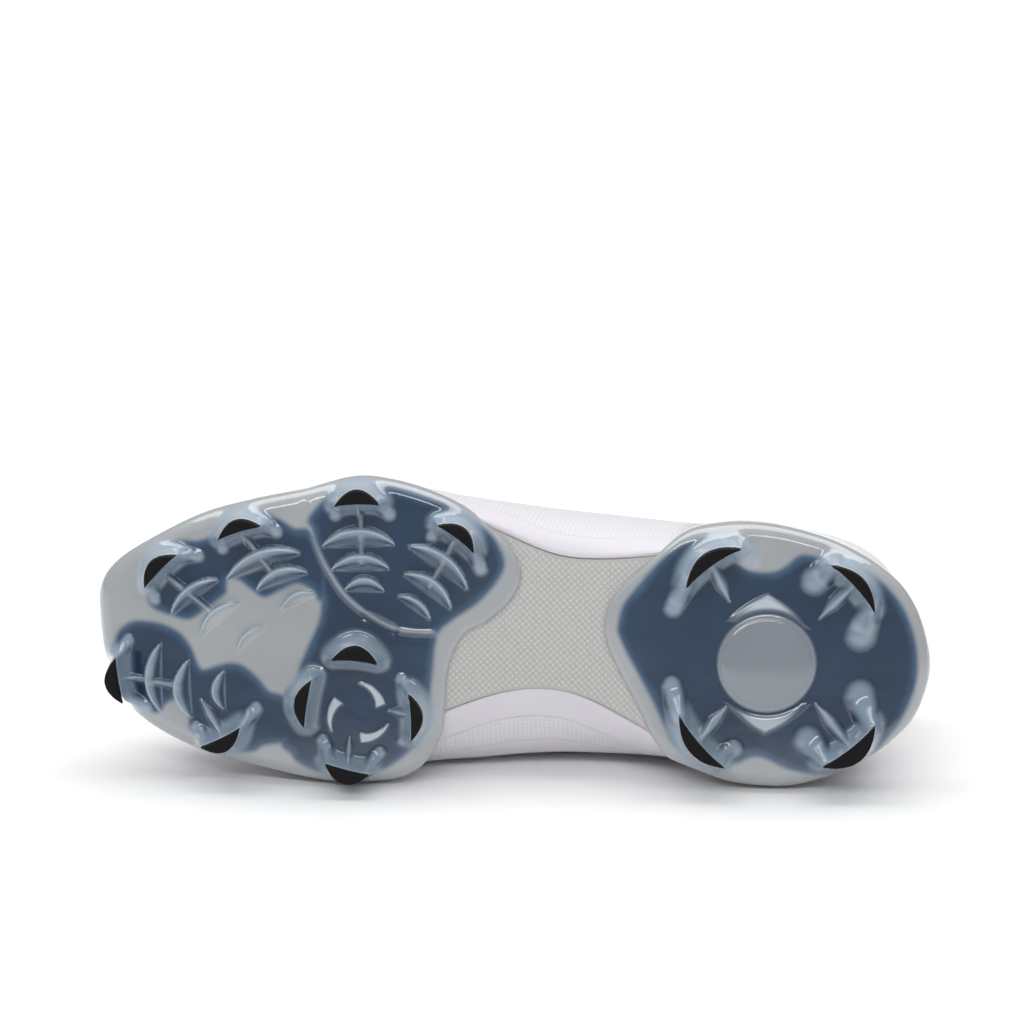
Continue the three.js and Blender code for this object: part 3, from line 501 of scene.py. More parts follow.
@dataclass(frozen=True)
class Polyurethane:
    """Clear polyurethane, injection moulded over a blue pigment layer."""

    # To the eye: a wet, clear gloss; the blue turns from slate at the edge of its layer to navy
    blotch_mm: float = 22.22
    drift_mm: float = 11.11
    flow_mm: float = 7.143
    grain_mm: float = 1.25
    flow_height_mm: float = 0.3
    wander_mm: float = 3.2
    edge_mm: tuple[float, float] = (-1.1, 1.2)
    deep_mm: tuple[float, float] = (0.0, 3.6)
    pale: tuple[str, str] = ("#a1a6aa", "#b3b7ba")
    navy: tuple[str, str] = ("#1c3049", "#2a4764")
    slate: str = "#44617f"
    # Point attribute, its strength and its colour, from the lowest layer up
    # The first layer is the pale of the raised forms, partly their clear moulding and partly painted
    # highlight and shade; the last is painted highlight
    layers: tuple = (("veil_and_painted_light", 0.85, "#a3b6c7"), ("frost", 1.0, "#8b929b"), ("painted_highlight", 1.0, "#c6d1da"))

    def build(self) -> bpy.types.Material:
        """Makes the material."""
        n = Nodes("injection_moulded_polyurethane")
        place = n.add({}, "TexCoord", "Object")
        blotch, drift, flow, grain = (
            n.add({"Vector": place, "Scale": per_metre(size), "Detail": detail}, **NOISE)
            for size, detail in ((self.blotch_mm, 3), (self.drift_mm, 2), (self.flow_mm, 3),
                                 (self.grain_mm, 2)))
        depth = n.add({}, "Attribute", "Fac", attribute_name="blue_mm")
        wander = n.add({0: drift, 1: self.wander_mm, 2: -self.wander_mm / 2}, **MULTIPLY_ADD)
        inside = n.add({"Value": depth, "From Min": self.edge_mm[0], "From Max": self.edge_mm[1]}, **STEP)
        deep = n.add({"Value": n.add({0: depth, 1: wander}, **ADD),
                      "From Min": self.deep_mm[0], "From Max": self.deep_mm[1]}, **STEP)
        navy = n.add({0: blotch, 6: self.navy[0], 7: self.navy[1]}, **MIX)
        pale = n.add({0: blotch, 6: self.pale[0], 7: self.pale[1]}, **MIX)
        blue = n.add({0: deep, 6: self.slate, 7: navy}, **MIX)
        colour = n.add({0: inside, 6: pale, 7: blue}, **MIX)
        for name, strength, tint in self.layers:
            mask = n.add({}, "Attribute", "Fac", attribute_name=name)
            share = n.add({0: mask, 1: strength}, **MULTIPLY)
            colour = n.add({0: share, 6: colour, 7: tint}, **MIX)
        return n.finish({
            "Base Color": colour, "Roughness": n.add({0: grain, 1: 0.08, 2: 0.14}, **MULTIPLY_ADD),
            "IOR": 1.5, "Coat Weight": 1.0, "Coat Roughness": 0.04,
            "Subsurface Weight": 0.12, "Subsurface Scale": 0.002,
            "Normal": n.add({"Height": flow, "Distance": self.flow_height_mm / 1000,
                             "Strength": 0.6}, **BUMP)})


@dataclass(frozen=True)
class Rubber:
    """Moulded black rubber."""

    # To the eye: a matt, slightly grainy black with paler scuffs
    grain_mm: float = 0.4545
    grain_height_mm: float = 0.05
    scuff_mm: float = 2.857
    scuff_from: tuple[float, float] = (0.58, 0.8)
    black: tuple[str, str] = ("#060607", "#131415")

    def build(self) -> bpy.types.Material:
        """Makes the material."""
        n = Nodes("moulded_black_rubber")
        place = n.add({}, "TexCoord", "Object")
        grain = n.add({"Vector": place, "Scale": per_metre(self.grain_mm), "Detail": 3}, **NOISE)
        scuff = n.add({"Vector": place, "Scale": per_metre(self.scuff_mm), "Detail": 4}, **NOISE)
        wear = n.add({"Value": scuff, "From Min": self.scuff_from[0], "From Max": self.scuff_from[1]}, **STEP)
        share = n.add({0: wear, 1: 0.5}, **MULTIPLY)
        return n.finish({
            "Base Color": n.add({0: share, 6: self.black[0], 7: self.black[1]}, **MIX),
            "Roughness": n.add({0: grain, 1: 0.25, 2: 0.5}, **MULTIPLY_ADD), "Specular IOR Level": 0.22,
            "Normal": n.add({"Height": grain, "Distance": self.grain_height_mm / 1000,
                             "Strength": 0.6}, **BUMP)})


@dataclass(frozen=True)
class Foam:
    """Pressed foam with raised dots."""

    # To the eye: a warm off-white with a fine skin, and painted shade that darkens it between the dots
    speck_mm: float = 0.6667
    speck_height_mm: float = 0.04
    painted_shade_and_dot: tuple[str, str] = ("#bcbbb9", "#dddcda")
    speck: str = "#bbbab8"

    def build(self) -> bpy.types.Material:
        """Makes the material."""
        n = Nodes("pressed_foam_with_raised_dots")
        place = n.add({}, "TexCoord", "Object")
        dot = n.add({}, "Attribute", "Fac", attribute_name="dot")
        speck = n.add({"Vector": place, "Scale": per_metre(self.speck_mm), "Detail": 3}, **NOISE)
        # Painted shade: darker where the face lies low between the raised dots
        colour = n.add({0: dot, 6: self.painted_shade_and_dot[0], 7: self.painted_shade_and_dot[1]}, **MIX)
        share = n.add({0: speck, 1: 0.2}, **MULTIPLY)
        return n.finish({
            "Base Color": n.add({0: share, 6: colour, 7: self.speck}, **MIX), "Roughness": 0.55,
            "Normal": n.add({"Height": speck, "Distance": self.speck_height_mm / 1000,
                             "Strength": 0.5}, **BUMP)})


@dataclass(frozen=True)
class Synthetic:
    """Coated synthetic skin, embossed with dots."""

    # To the eye: a soft lilac white, smooth in the bands and dotted between them, with painted shade between
    # the dots, darker at the seams
    dot_mm: float = 1.5
    grain_mm: float = 0.8333
    cloud_mm: float = 20.0
    emboss_mm: float = 0.22
    # Skin colour, and the darker colour painted as shade between the dots
    skin: tuple[str, str] = ("#e4e2e6", "#c9c7cc")
    band: tuple[str, str] = ("#d8d4dc", "#e0dce4")
    seam: str = "#b9b7bd"

    def build(self) -> bpy.types.Material:
        """Makes the material."""
        n = Nodes("coated_synthetic_skin")
        place = n.add({}, "TexCoord", "Object")
        u, v, mask, band, seam = (
            n.add({}, "Attribute", "Fac", attribute_name=name)
            for name in ("cloth_u", "cloth_v", "texture", "band", "seam"))
        rising, falling = (
            n.add({0: n.add({0: n.add({0: u, 1: v}, **way), 1: math.pi / self.dot_mm}, **MULTIPLY)}, **SINE)
            for way in (ADD, SUBTRACT))
        dot = n.add({0: n.add({0: rising, 1: falling}, **MULTIPLY), 1: 0.5, 2: 0.5}, **MULTIPLY_ADD)
        grain = n.add({"Vector": place, "Scale": per_metre(self.grain_mm), "Detail": 4}, **NOISE)
        cloud = n.add({"Vector": place, "Scale": per_metre(self.cloud_mm), "Detail": 2}, **NOISE)
        height = n.add({0: n.add({0: dot, 1: mask}, **MULTIPLY),
                        1: n.add({0: grain, 1: 0.12}, **MULTIPLY)}, **ADD)
        # Painted shade: the skin is darkened where it lies low between the embossed dots
        low = n.add({0: n.add({0: 1.0, 1: dot}, **SUBTRACT), 1: mask}, **MULTIPLY)
        colour = n.add({0: n.add({0: low, 1: 0.55}, **MULTIPLY), 6: self.skin[0], 7: self.skin[1]}, **MIX)
        smooth_band = n.add({0: cloud, 6: self.band[0], 7: self.band[1]}, **MIX)
        colour = n.add({0: band, 6: colour, 7: smooth_band}, **MIX)
        colour = n.add({0: n.add({0: seam, 1: 0.6}, **MULTIPLY), 6: colour, 7: self.seam}, **MIX)
        return n.finish({
            "Base Color": colour, "Roughness": n.add({0: grain, 1: 0.2, 2: 0.42}, **MULTIPLY_ADD),
            "Sheen Weight": 0.08,
            "Normal": n.add({"Height": height, "Distance": self.emboss_mm / 1000,
                             "Strength": 0.8}, **BUMP)})


@dataclass(frozen=True)
class Lining:
    """Knitted polyester lining."""

    # To the eye: a dull, napped grey with fine ribs
    rib_mm: float = 0.8267
    nap_mm: float = 0.4
    knit_height_mm: float = 0.25
    yarn: tuple[str, str] = ("#b4b7bd", "#cfd1d6")
    # The wave texture runs 20 / (2 pi) times a unit of its scale
    WAVES = 20.0 / (2 * math.pi)

    def build(self) -> bpy.types.Material:
        """Makes the material."""
        n = Nodes("knitted_polyester_lining")
        place = n.add({}, "TexCoord", "Object")
        rib = n.add({"Vector": place, "Scale": per_metre(self.rib_mm) / self.WAVES, "Distortion": 1.2,
                     "Detail": 2}, "TexWave", "Fac", wave_type="BANDS", bands_direction="X")
        nap = n.add({"Vector": place, "Scale": per_metre(self.nap_mm), "Detail": 4}, **NOISE)
        return n.finish({
            "Base Color": n.add({0: rib, 6: self.yarn[0], 7: self.yarn[1]}, **MIX),
            "Roughness": 0.92, "Sheen Weight": 0.35,
            "Normal": n.add({"Height": n.add({0: rib, 1: nap}, **ADD),
                             "Distance": self.knit_height_mm / 1000, "Strength": 0.7}, **BUMP)})


@dataclass(frozen=True)
class Webbing:
    """Flat-woven polyester lace."""

    # To the eye: a bright, dull white with a fine herring-bone weave
    weave_mm: float = 1.1
    weave_height_mm: float = 0.2
    yarn: tuple[str, str] = ("#d9d9dc", "#f4f3f5")

    def build(self) -> bpy.types.Material:
        """Makes the material."""
        n = Nodes("flat_woven_polyester_webbing")
        u, v = (n.add({}, "Attribute", "Fac", attribute_name=name) for name in ("cloth_u", "cloth_v"))
        run = n.add({0: u, 1: n.add({0: v}, **ABSOLUTE)}, **ADD)
        weave = n.add({0: n.add({0: run, 1: 2 * math.pi / self.weave_mm}, **MULTIPLY)}, **SINE)
        height = n.add({0: weave, 1: 0.5, 2: 0.5}, **MULTIPLY_ADD)
        return n.finish({
            "Base Color": n.add({0: height, 6: self.yarn[0], 7: self.yarn[1]}, **MIX),
            "Roughness": 0.85, "Sheen Weight": 0.2,
            "Normal": n.add({"Height": height, "Distance": self.weave_height_mm / 1000,
                             "Strength": 0.8}, **BUMP)})


@dataclass(frozen=True)
class Overlay:
    """Heat-pressed synthetic overlay."""

    # To the eye: a satin white with a fine, leather-like grain
    cell_mm: float = 0.7692
    cell_height_mm: float = 0.06
    grain_mm: float = 1.667
    skin: tuple[str, str] = ("#dcd9df", "#e9e6eb")

    def build(self) -> bpy.types.Material:
        """Makes the material."""
        n = Nodes("heat_pressed_synthetic_overlay")
        place = n.add({}, "TexCoord", "Object")
        cells = n.add({"Vector": place, "Scale": per_metre(self.cell_mm)}, "TexVoronoi", "Distance",
                      feature="F1")
        grain = n.add({"Vector": place, "Scale": per_metre(self.grain_mm), "Detail": 4}, **NOISE)
        return n.finish({
            "Base Color": n.add({0: grain, 6: self.skin[0], 7: self.skin[1]}, **MIX),
            "Roughness": n.add({0: grain, 1: 0.15, 2: 0.35}, **MULTIPLY_ADD),
            "Normal": n.add({"Height": cells, "Distance": self.cell_height_mm / 1000,
                             "Strength": 0.5}, **BUMP)})


@dataclass(frozen=True)
class Grained:
    """Finish with one grain in its colour and its surface."""

    name: str
    colours: tuple[str, str]
    grain_mm: float
    detail: float
    roughness: float
    height_mm: float = 0.0
    bump: float = 0.0
    metallic: float = 0.0
    specular: float = 0.5

    def build(self) -> bpy.types.Material:
        """Makes the material."""
        n = Nodes(self.name)
        place = n.add({}, "TexCoord", "Object")
        grain = n.add({"Vector": place, "Scale": per_metre(self.grain_mm), "Detail": self.detail}, **NOISE)
        inputs = {
            "Base Color": n.add({0: grain, 6: self.colours[0], 7: self.colours[1]}, **MIX),
            "Roughness": self.roughness, "Metallic": self.metallic, "Specular IOR Level": self.specular}
        if self.height_mm:
            inputs["Normal"] = n.add(
                {"Height": grain, "Distance": self.height_mm / 1000, "Strength": self.bump}, **BUMP)
        return n.finish(inputs)


# To the eye: a dull, fluffy white line with a fine twist
THREAD = Grained("twisted_polyester_thread", ("#cccace", "#efedf0"), 0.3333, 2, 0.8, 0.08, 0.6)
# To the eye: a satin white with a little shine of the metal below
EYELET_RING = Grained("painted_eyelet_ring", ("#c3c4c9", "#dedfe3"), 1.111, 4, 0.3, 0.03, 0.4, metallic=0.3)
# To the eye: a white ground without any gloss
SWEEP = Grained("matt_white_studio_sweep", ("#fbfbfb", "#ffffff"), 500.0, 2, 0.9, specular=0.1)


# ---- Outsole

class Plate(Enum):
    """The two moulded plates."""

    FORE = "fore"
    HEEL = "heel"


@dataclass(frozen=True)
class Crescent:
    """A bow-shaped stud or rib: middle of the straight side as shares, outward turn in degrees."""

    name: str
    plate: Plate
    x: float
    y: float
    turn: float
    chord: float
    bulge: float
    height: float = 0.0
    width: float = 0.0

    def middle(self, sizes: Sizes) -> Array:
        """Plan point at the middle of its straight side."""
        wide = sizes.heel_width if self.plate is Plate.HEEL else sizes.ball_width
        return np.array([self.x * sizes.sole_length, self.y * wide])

    def lift(self, sizes: Sizes, sole: SoleForm) -> float:
        """Height of its foot over the plane of the stud ends."""
        return float(sole.bottom(*self.middle(sizes))) - sizes.stud_height

    def local(self, points: Array, sizes: Sizes) -> tuple[Array, Array]:
        """Plan points in the crescent's own coordinates.

        Args:
            points: Plan points.
            sizes: Sizes of the shoe.

        Returns:
            Outward and across coordinates.
        """
        rel = points - self.middle(sizes)
        a = math.radians(self.turn)
        out = rel[:, 0] * math.cos(a) + rel[:, 1] * math.sin(a)
        across = -rel[:, 0] * math.sin(a) + rel[:, 1] * math.cos(a)
        return out, across

    def to_plan(self, out: Array, across: Array, sizes: Sizes) -> Array:
        """Plan points of the crescent's own coordinates.

        Args:
            out: Outward coordinates.
            across: Across coordinates.
            sizes: Sizes of the shoe.

        Returns:
            Plan points, one a row.
        """
        a = math.radians(self.turn)
        x = out * math.cos(a) - across * math.sin(a)
        y = out * math.sin(a) + across * math.cos(a)
        return self.middle(sizes) + np.stack([x, y], axis=-1)


# Each stud: x and y share, turn, chord and bulge
FORE_STUDS = (
    ("toe_lateral", 0.921, 0.158, 41, 14.6, 4.5),
    ("lateral_front", 0.828, 0.303, 69, 14.3, 4.3),
    ("lateral_middle", 0.69, 0.417, 85, 14.2, 4.9),
    ("lateral_back", 0.571, 0.326, 124, 14.3, 4.3),
    ("toe_medial", 0.966, -0.209, -12, 14.8, 4.5),
    ("medial_front", 0.839, -0.363, -119, 13.8, 4.7),
    ("pivot_top", 0.683, -0.085, 92, 14.4, 4.9),
    ("pivot_front", 0.736, -0.231, 6, 15.2, 4.3),
    ("pivot_back", 0.614, -0.257, 174, 15.2, 4.1),
    ("pivot_side", 0.685, -0.436, -79, 14.4, 4.6),
)
HEEL_STUDS = (
    ("heel_front_lateral", 0.265, 0.33, 51, 21.4, 5.3),
    ("heel_back_lateral", 0.099, 0.28, 134, 20.8, 4.6),
    ("heel_front_medial", 0.266, -0.329, -44, 22.1, 5),
    ("heel_back_medial", 0.091, -0.315, -132, 21.3, 5.6),
)
STUDS = tuple(Crescent(name, plate, *numbers)
              for plate, rows in ((Plate.FORE, FORE_STUDS), (Plate.HEEL, HEEL_STUDS))
              for name, *numbers in rows)
# Lobes that run from the two corners of a stud, and the fin from its middle, as plan vectors in mm.
# Each stud: vector and radius at the low corner, at the high corner, then the fin's
STUD_LEGS = {
    "toe_lateral": ((-2.1, -6.6), 2.6, (-8.4, 0.3), 2.8, None, 0),
    "lateral_front": ((0.4, -5.2), 2.6, (-6.6, -2.4), 2.9, (-1.6, -5.0), 1.3),
    "lateral_middle": ((1.6, -4.6), 2.9, (-4.8, -4.4), 3.1, (-0.4, -6.0), 1.3),
    "lateral_back": ((3.8, -4.2), 2.8, (-3.4, -8.2), 3.0, (3.0, -5.0), 1.3),
    "toe_medial": ((-8.6, -3.4), 2.6, (-3.6, 7.2), 2.6, (-6.0, 0.2), 1.2),
    "medial_front": ((-5.6, 7.6), 2.8, (4.8, 4.8), 2.6, (8.0, 11.0), 2.0),
    "pivot_top": ((2.6, -2.6), 2.5, (-3.4, -2.4), 2.5, None, 0),
    "pivot_front": ((-3.2, -2.6), 2.3, (-3.4, 3.2), 2.3, None, 0),
    "pivot_back": ((4.0, 5.4), 2.6, (3.6, -3.4), 2.5, (7.6, 0.4), 2.0),
    "pivot_side": ((-4.6, 6.6), 2.6, (3.2, 7.6), 2.6, (0.1, 10.0), 1.5),
    "heel_front_lateral": ((4.1, -9.7), 3.3, (-6.0, -3.6), 3.6, (-6.8, -12.0), 2.7),
    "heel_back_lateral": ((6.0, -5.6), 4.9, (2.5, -10.2), 5.4, (9.6, -11.4), 2.7),
    "heel_front_medial": ((-5.2, 4.2), 3.2, (3.2, 10.4), 3.3, (-8.2, 10.8), 2.6),
    "heel_back_medial": ((4.0, 10.6), 5.3, (6.6, 6.8), 4.9, (11.2, 12.4), 2.7),
}
# Each rib: x and y share, turn, chord, bulge, height and width
FORE_RIBS = (
    ("r11", 0.687, 0.279, 85, 23.9, 5, 4, 5),
    ("r12", 0.683, 0.202, 86, 19.2, 4.4, 3.6, 4.4),
    ("r13", 0.677, 0.135, 88, 12.9, 3.8, 3, 3.8),
    ("r21", 0.591, 0.219, 124, 24.4, 4.6, 4, 5),
    ("r22", 0.602, 0.141, 124, 19.5, 4.2, 3.6, 4.4),
    ("r23", 0.617, 0.087, 123, 13.1, 2.5, 3, 3.8),
    ("r31", 0.8, 0.189, 66, 26.6, 5, 4, 5),
    ("r32", 0.776, 0.146, 67, 18.2, 4, 3.6, 4.4),
    ("r33", 0.755, 0.085, 61, 12.7, 2.7, 3, 3.8),
    ("r41", 0.881, 0.073, 50, 20, 3.6, 4, 4.6),
    ("r42", 0.849, 0.006, 46, 17.6, 3.5, 3.4, 4),
    ("r43", 0.81, -0.049, 45, 12.5, 2.3, 2.4, 3.4),
    ("r51", 0.917, -0.201, -4, 23.2, 4.9, 4, 5),
    ("r52", 0.881, -0.228, -6, 19.3, 5.1, 3.4, 4.4),
    ("r53", 0.839, -0.223, -4, 13.3, 3.7, 2.8, 3.8),
)
RIBS = tuple(Crescent(name, Plate.FORE, *numbers) for name, *numbers in FORE_RIBS)
# Bars that join a stud to the ribs behind it: from and to, as shares
BARS = (
    ((0.686, 0.38), (0.682, 0.225)),
    ((0.575, 0.3), (0.6, 0.16)),
    ((0.822, 0.28), (0.786, 0.165)),
    ((0.915, 0.135), (0.862, 0.035)),
    ((0.955, -0.208), (0.895, -0.22)),
)
# x share, y share and rim of each plate's outline
FORE_OUTLINE = (
    (0.998, -0.04, 1), (0.988, -0.169, 1), (0.963, -0.29, 1), (0.924, -0.37, 1), (0.862, -0.434, 1),
    (0.795, -0.468, 1), (0.738, -0.492, 1), (0.691, -0.503, 1), (0.648, -0.491, 1), (0.615, -0.467, 0.8),
    (0.591, -0.412, 0.4), (0.576, -0.324, 0), (0.573, -0.216, 0), (0.572, -0.108, 0), (0.556, 0.003, 0),
    (0.529, 0.049, 0), (0.503, 0.118, 0), (0.492, 0.196, 0), (0.502, 0.279, 0.2), (0.527, 0.348, 0.6),
    (0.564, 0.418, 0.9), (0.604, 0.463, 1), (0.653, 0.493, 1), (0.698, 0.495, 1), (0.756, 0.445, 1),
    (0.815, 0.402, 1), (0.876, 0.345, 1), (0.934, 0.256, 1), (0.979, 0.168, 1), (1.0, 0.078, 1),
)
HEEL_OUTLINE = (
    (-0.005, -0.013, 1), (0.001, 0.086, 1), (0.016, 0.202, 1), (0.039, 0.297, 1), (0.075, 0.378, 1),
    (0.115, 0.436, 1), (0.155, 0.47, 1), (0.195, 0.49, 1), (0.233, 0.491, 1), (0.272, 0.472, 0.9),
    (0.297, 0.445, 0.7), (0.317, 0.395, 0.4), (0.349, 0.287, 0), (0.377, 0.186, 0), (0.388, 0.092, 0),
    (0.383, -0.011, 0), (0.361, -0.138, 0), (0.341, -0.241, 0), (0.326, -0.331, 0.2), (0.306, -0.413, 0.6),
    (0.285, -0.444, 0.9), (0.258, -0.474, 1), (0.226, -0.502, 1), (0.186, -0.51, 1), (0.148, -0.5, 1),
    (0.106, -0.457, 1), (0.071, -0.401, 1), (0.039, -0.322, 1), (0.012, -0.224, 1), (-0.001, -0.114, 1),
)
# Edges of the blue layer inside the clear plate, in millimetres
TOE_LATERAL_POOL = (
    (258.9, 8.2), (260.1, 13.8), (258.9, 18.5), (254.9, 22.9), (248.6, 25.8), (242.2, 26.4),
    (237.7, 28.5), (235.1, 32.4), (228.8, 36), (221.5, 37.3), (215, 35.4), (210.2, 32.9),
    (204.7, 32.3), (199, 24.6), (198, 15.4), (200.3, 8.8), (203.7, 12.8), (208.4, 14.4),
    (213.8, 11.8), (219.2, 9.1), (224, 11.7), (227.8, 14.2), (231.4, 13.6), (231.7, 9.8),
    (234.8, 6.8), (239.2, 2.9), (243.7, -0.2), (249.3, 0.4), (256.8, 2.8),
)
BALL_POOL = (
    (204.7, 32.3), (206.2, 35.4), (204.1, 39.3), (199.7, 44.1), (193.5, 47.4), (186.2, 48.6),
    (177, 47.8), (167.6, 45.4), (158.2, 42.2), (150.6, 38), (144.8, 33.2), (141.2, 27.1),
    (140.9, 22.5), (143.9, 16.7), (149.1, 10.8), (157.1, 4.8), (161.4, -0.1), (162.2, -10.4),
    (162.7, -19.8), (162.6, -27.3), (165.4, -35), (172.1, -42.4), (181.1, -47.6), (190.3, -48.6),
    (199.6, -47.2), (205.4, -45), (207.9, -42.2), (211.3, -39.1), (211.7, -30.2), (211.2, -22.6),
    (207.3, -16.8), (206.1, -12), (203.7, -5.4), (200.8, 2.3), (200.3, 8.8), (201.5, 15.4),
    (203, 25),
)
TOE_MEDIAL_POOL = (
    (268.8, -9.1), (267.1, -5.3), (263, -2.4), (257.5, -1.9), (251.9, -2.5), (246.3, -5),
    (242.4, -9.5), (240.3, -14), (238.3, -16.2), (233.8, -14.6), (229.2, -13.2), (224.6, -14),
    (219.8, -17.5), (215.9, -21.5), (211.2, -22.6), (204.6, -24.1), (203.9, -39.1), (211.3, -39.1),
    (216.8, -40.3), (220.4, -42.6), (227.8, -43.2), (234.3, -42.4), (238.7, -39.2), (242, -36.6),
    (242.7, -32), (246.2, -27.5), (249.8, -28.6), (253.3, -32.5), (258.1, -31), (264.2, -28.4),
    (268.2, -24.1), (269.6, -14.8),
)
HEEL_POOL = (
    (102.5, 6.5), (101.2, 13.2), (96.2, 20.8), (90.2, 28.6), (84.8, 33.7), (79.2, 36.4),
    (73.5, 37.3), (68.3, 36.1), (65.1, 30.5), (60.6, 27.7), (54.8, 27.3), (49.9, 28.9),
    (44.4, 33.5), (39.4, 33.5), (33.5, 32.7), (27, 31.3), (21, 28.7), (15, 24.7), (9.5, 18.5),
    (5.6, 10.7), (3.6, 2.8), (3.2, -4.4), (4.4, -11.8), (7.3, -19.3), (11.9, -26.2),
    (14.8, -30.7), (20.6, -35.6), (28.7, -38.4), (37.4, -38.8), (44.7, -37.4), (52.2, -34.4),
    (56.6, -34.7), (60, -36.6), (64.3, -38), (70.7, -38.6), (78.2, -35), (82.9, -30.6),
    (85.2, -26.1), (89.8, -17.5), (94.6, -9.8), (99.4, -2), (102.2, 3.6),
)
FLEX_GROOVE = (
    (208.2, 43), (206.6, 32.9), (204.2, 25.6), (200.2, 18.4), (194.2, 10.4), (186.5, 4.3),
    (178, 0.1), (169.6, -1.2), (161, -0.9),
)
GROOVE_SLOT = ((185.2, 5.3), (175.7, 1.2))
PIVOT_CENTRE = (186.1, -27.4)
HEEL_DISC = (52.9, -2.8)
HEEL_DISC_RADIUS = 16.0
# Outer corners of the two facets beside the heel disc
DISC_FACETS = (((67.2, 10.8), (54, 20.2), (38.8, 9.4)), ((66, -16), (52.1, -26.4), (37.8, -15.2)))


@dataclass(frozen=True)
class PlateSizes:
    """Sizes of one moulded plate, in millimetres."""

    plate: Plate
    width: float
    flange_rise: float
    outline: tuple
    flange_thickness: float = 4.2
    roll_radius: float = 5.0
    waist_radius: float = 1.5
    grid: float = 0.46
    rim_steps: int = 520
    leg_radius: float = 2.6
    leg_heights: tuple = (7.0, 0.6)
    fin_heights: tuple = (4.6, 0.9)
    foot_flare: float = 0.92
    hollow: float = 0.5


@dataclass
class Layers:
    """Heights and colour values that gather over plan points."""

    plan: Array
    blend: float = 5.0

    def __post_init__(self) -> None:
        """Starts every layer empty."""
        count = len(self.plan)
        self.powers, self.extra = np.zeros(count), np.zeros(count)
        self.values = {name: np.zeros(count) for name in ("veil_and_painted_light", "painted_highlight", "frost")}
        self.cap = np.full(count, np.inf)
        self.all = np.arange(count)

    def join(self, height: Array, where: Array) -> None:
        """Adds a raised form that melts into the others."""
        self.powers[where] += np.maximum(height, 0) ** self.blend

    def paint(self, name: str, value: Array, where: Array) -> None:
        """Raises a colour value to at least this value."""
        self.values[name][where] = np.maximum(self.values[name][where], value)

    def result(self) -> dict[str, Array]:
        """Height in millimetres, and the colour values from 0 to 1."""
        return {"height": np.minimum(self.powers ** (1 / self.blend), self.cap) + self.extra, **self.values}


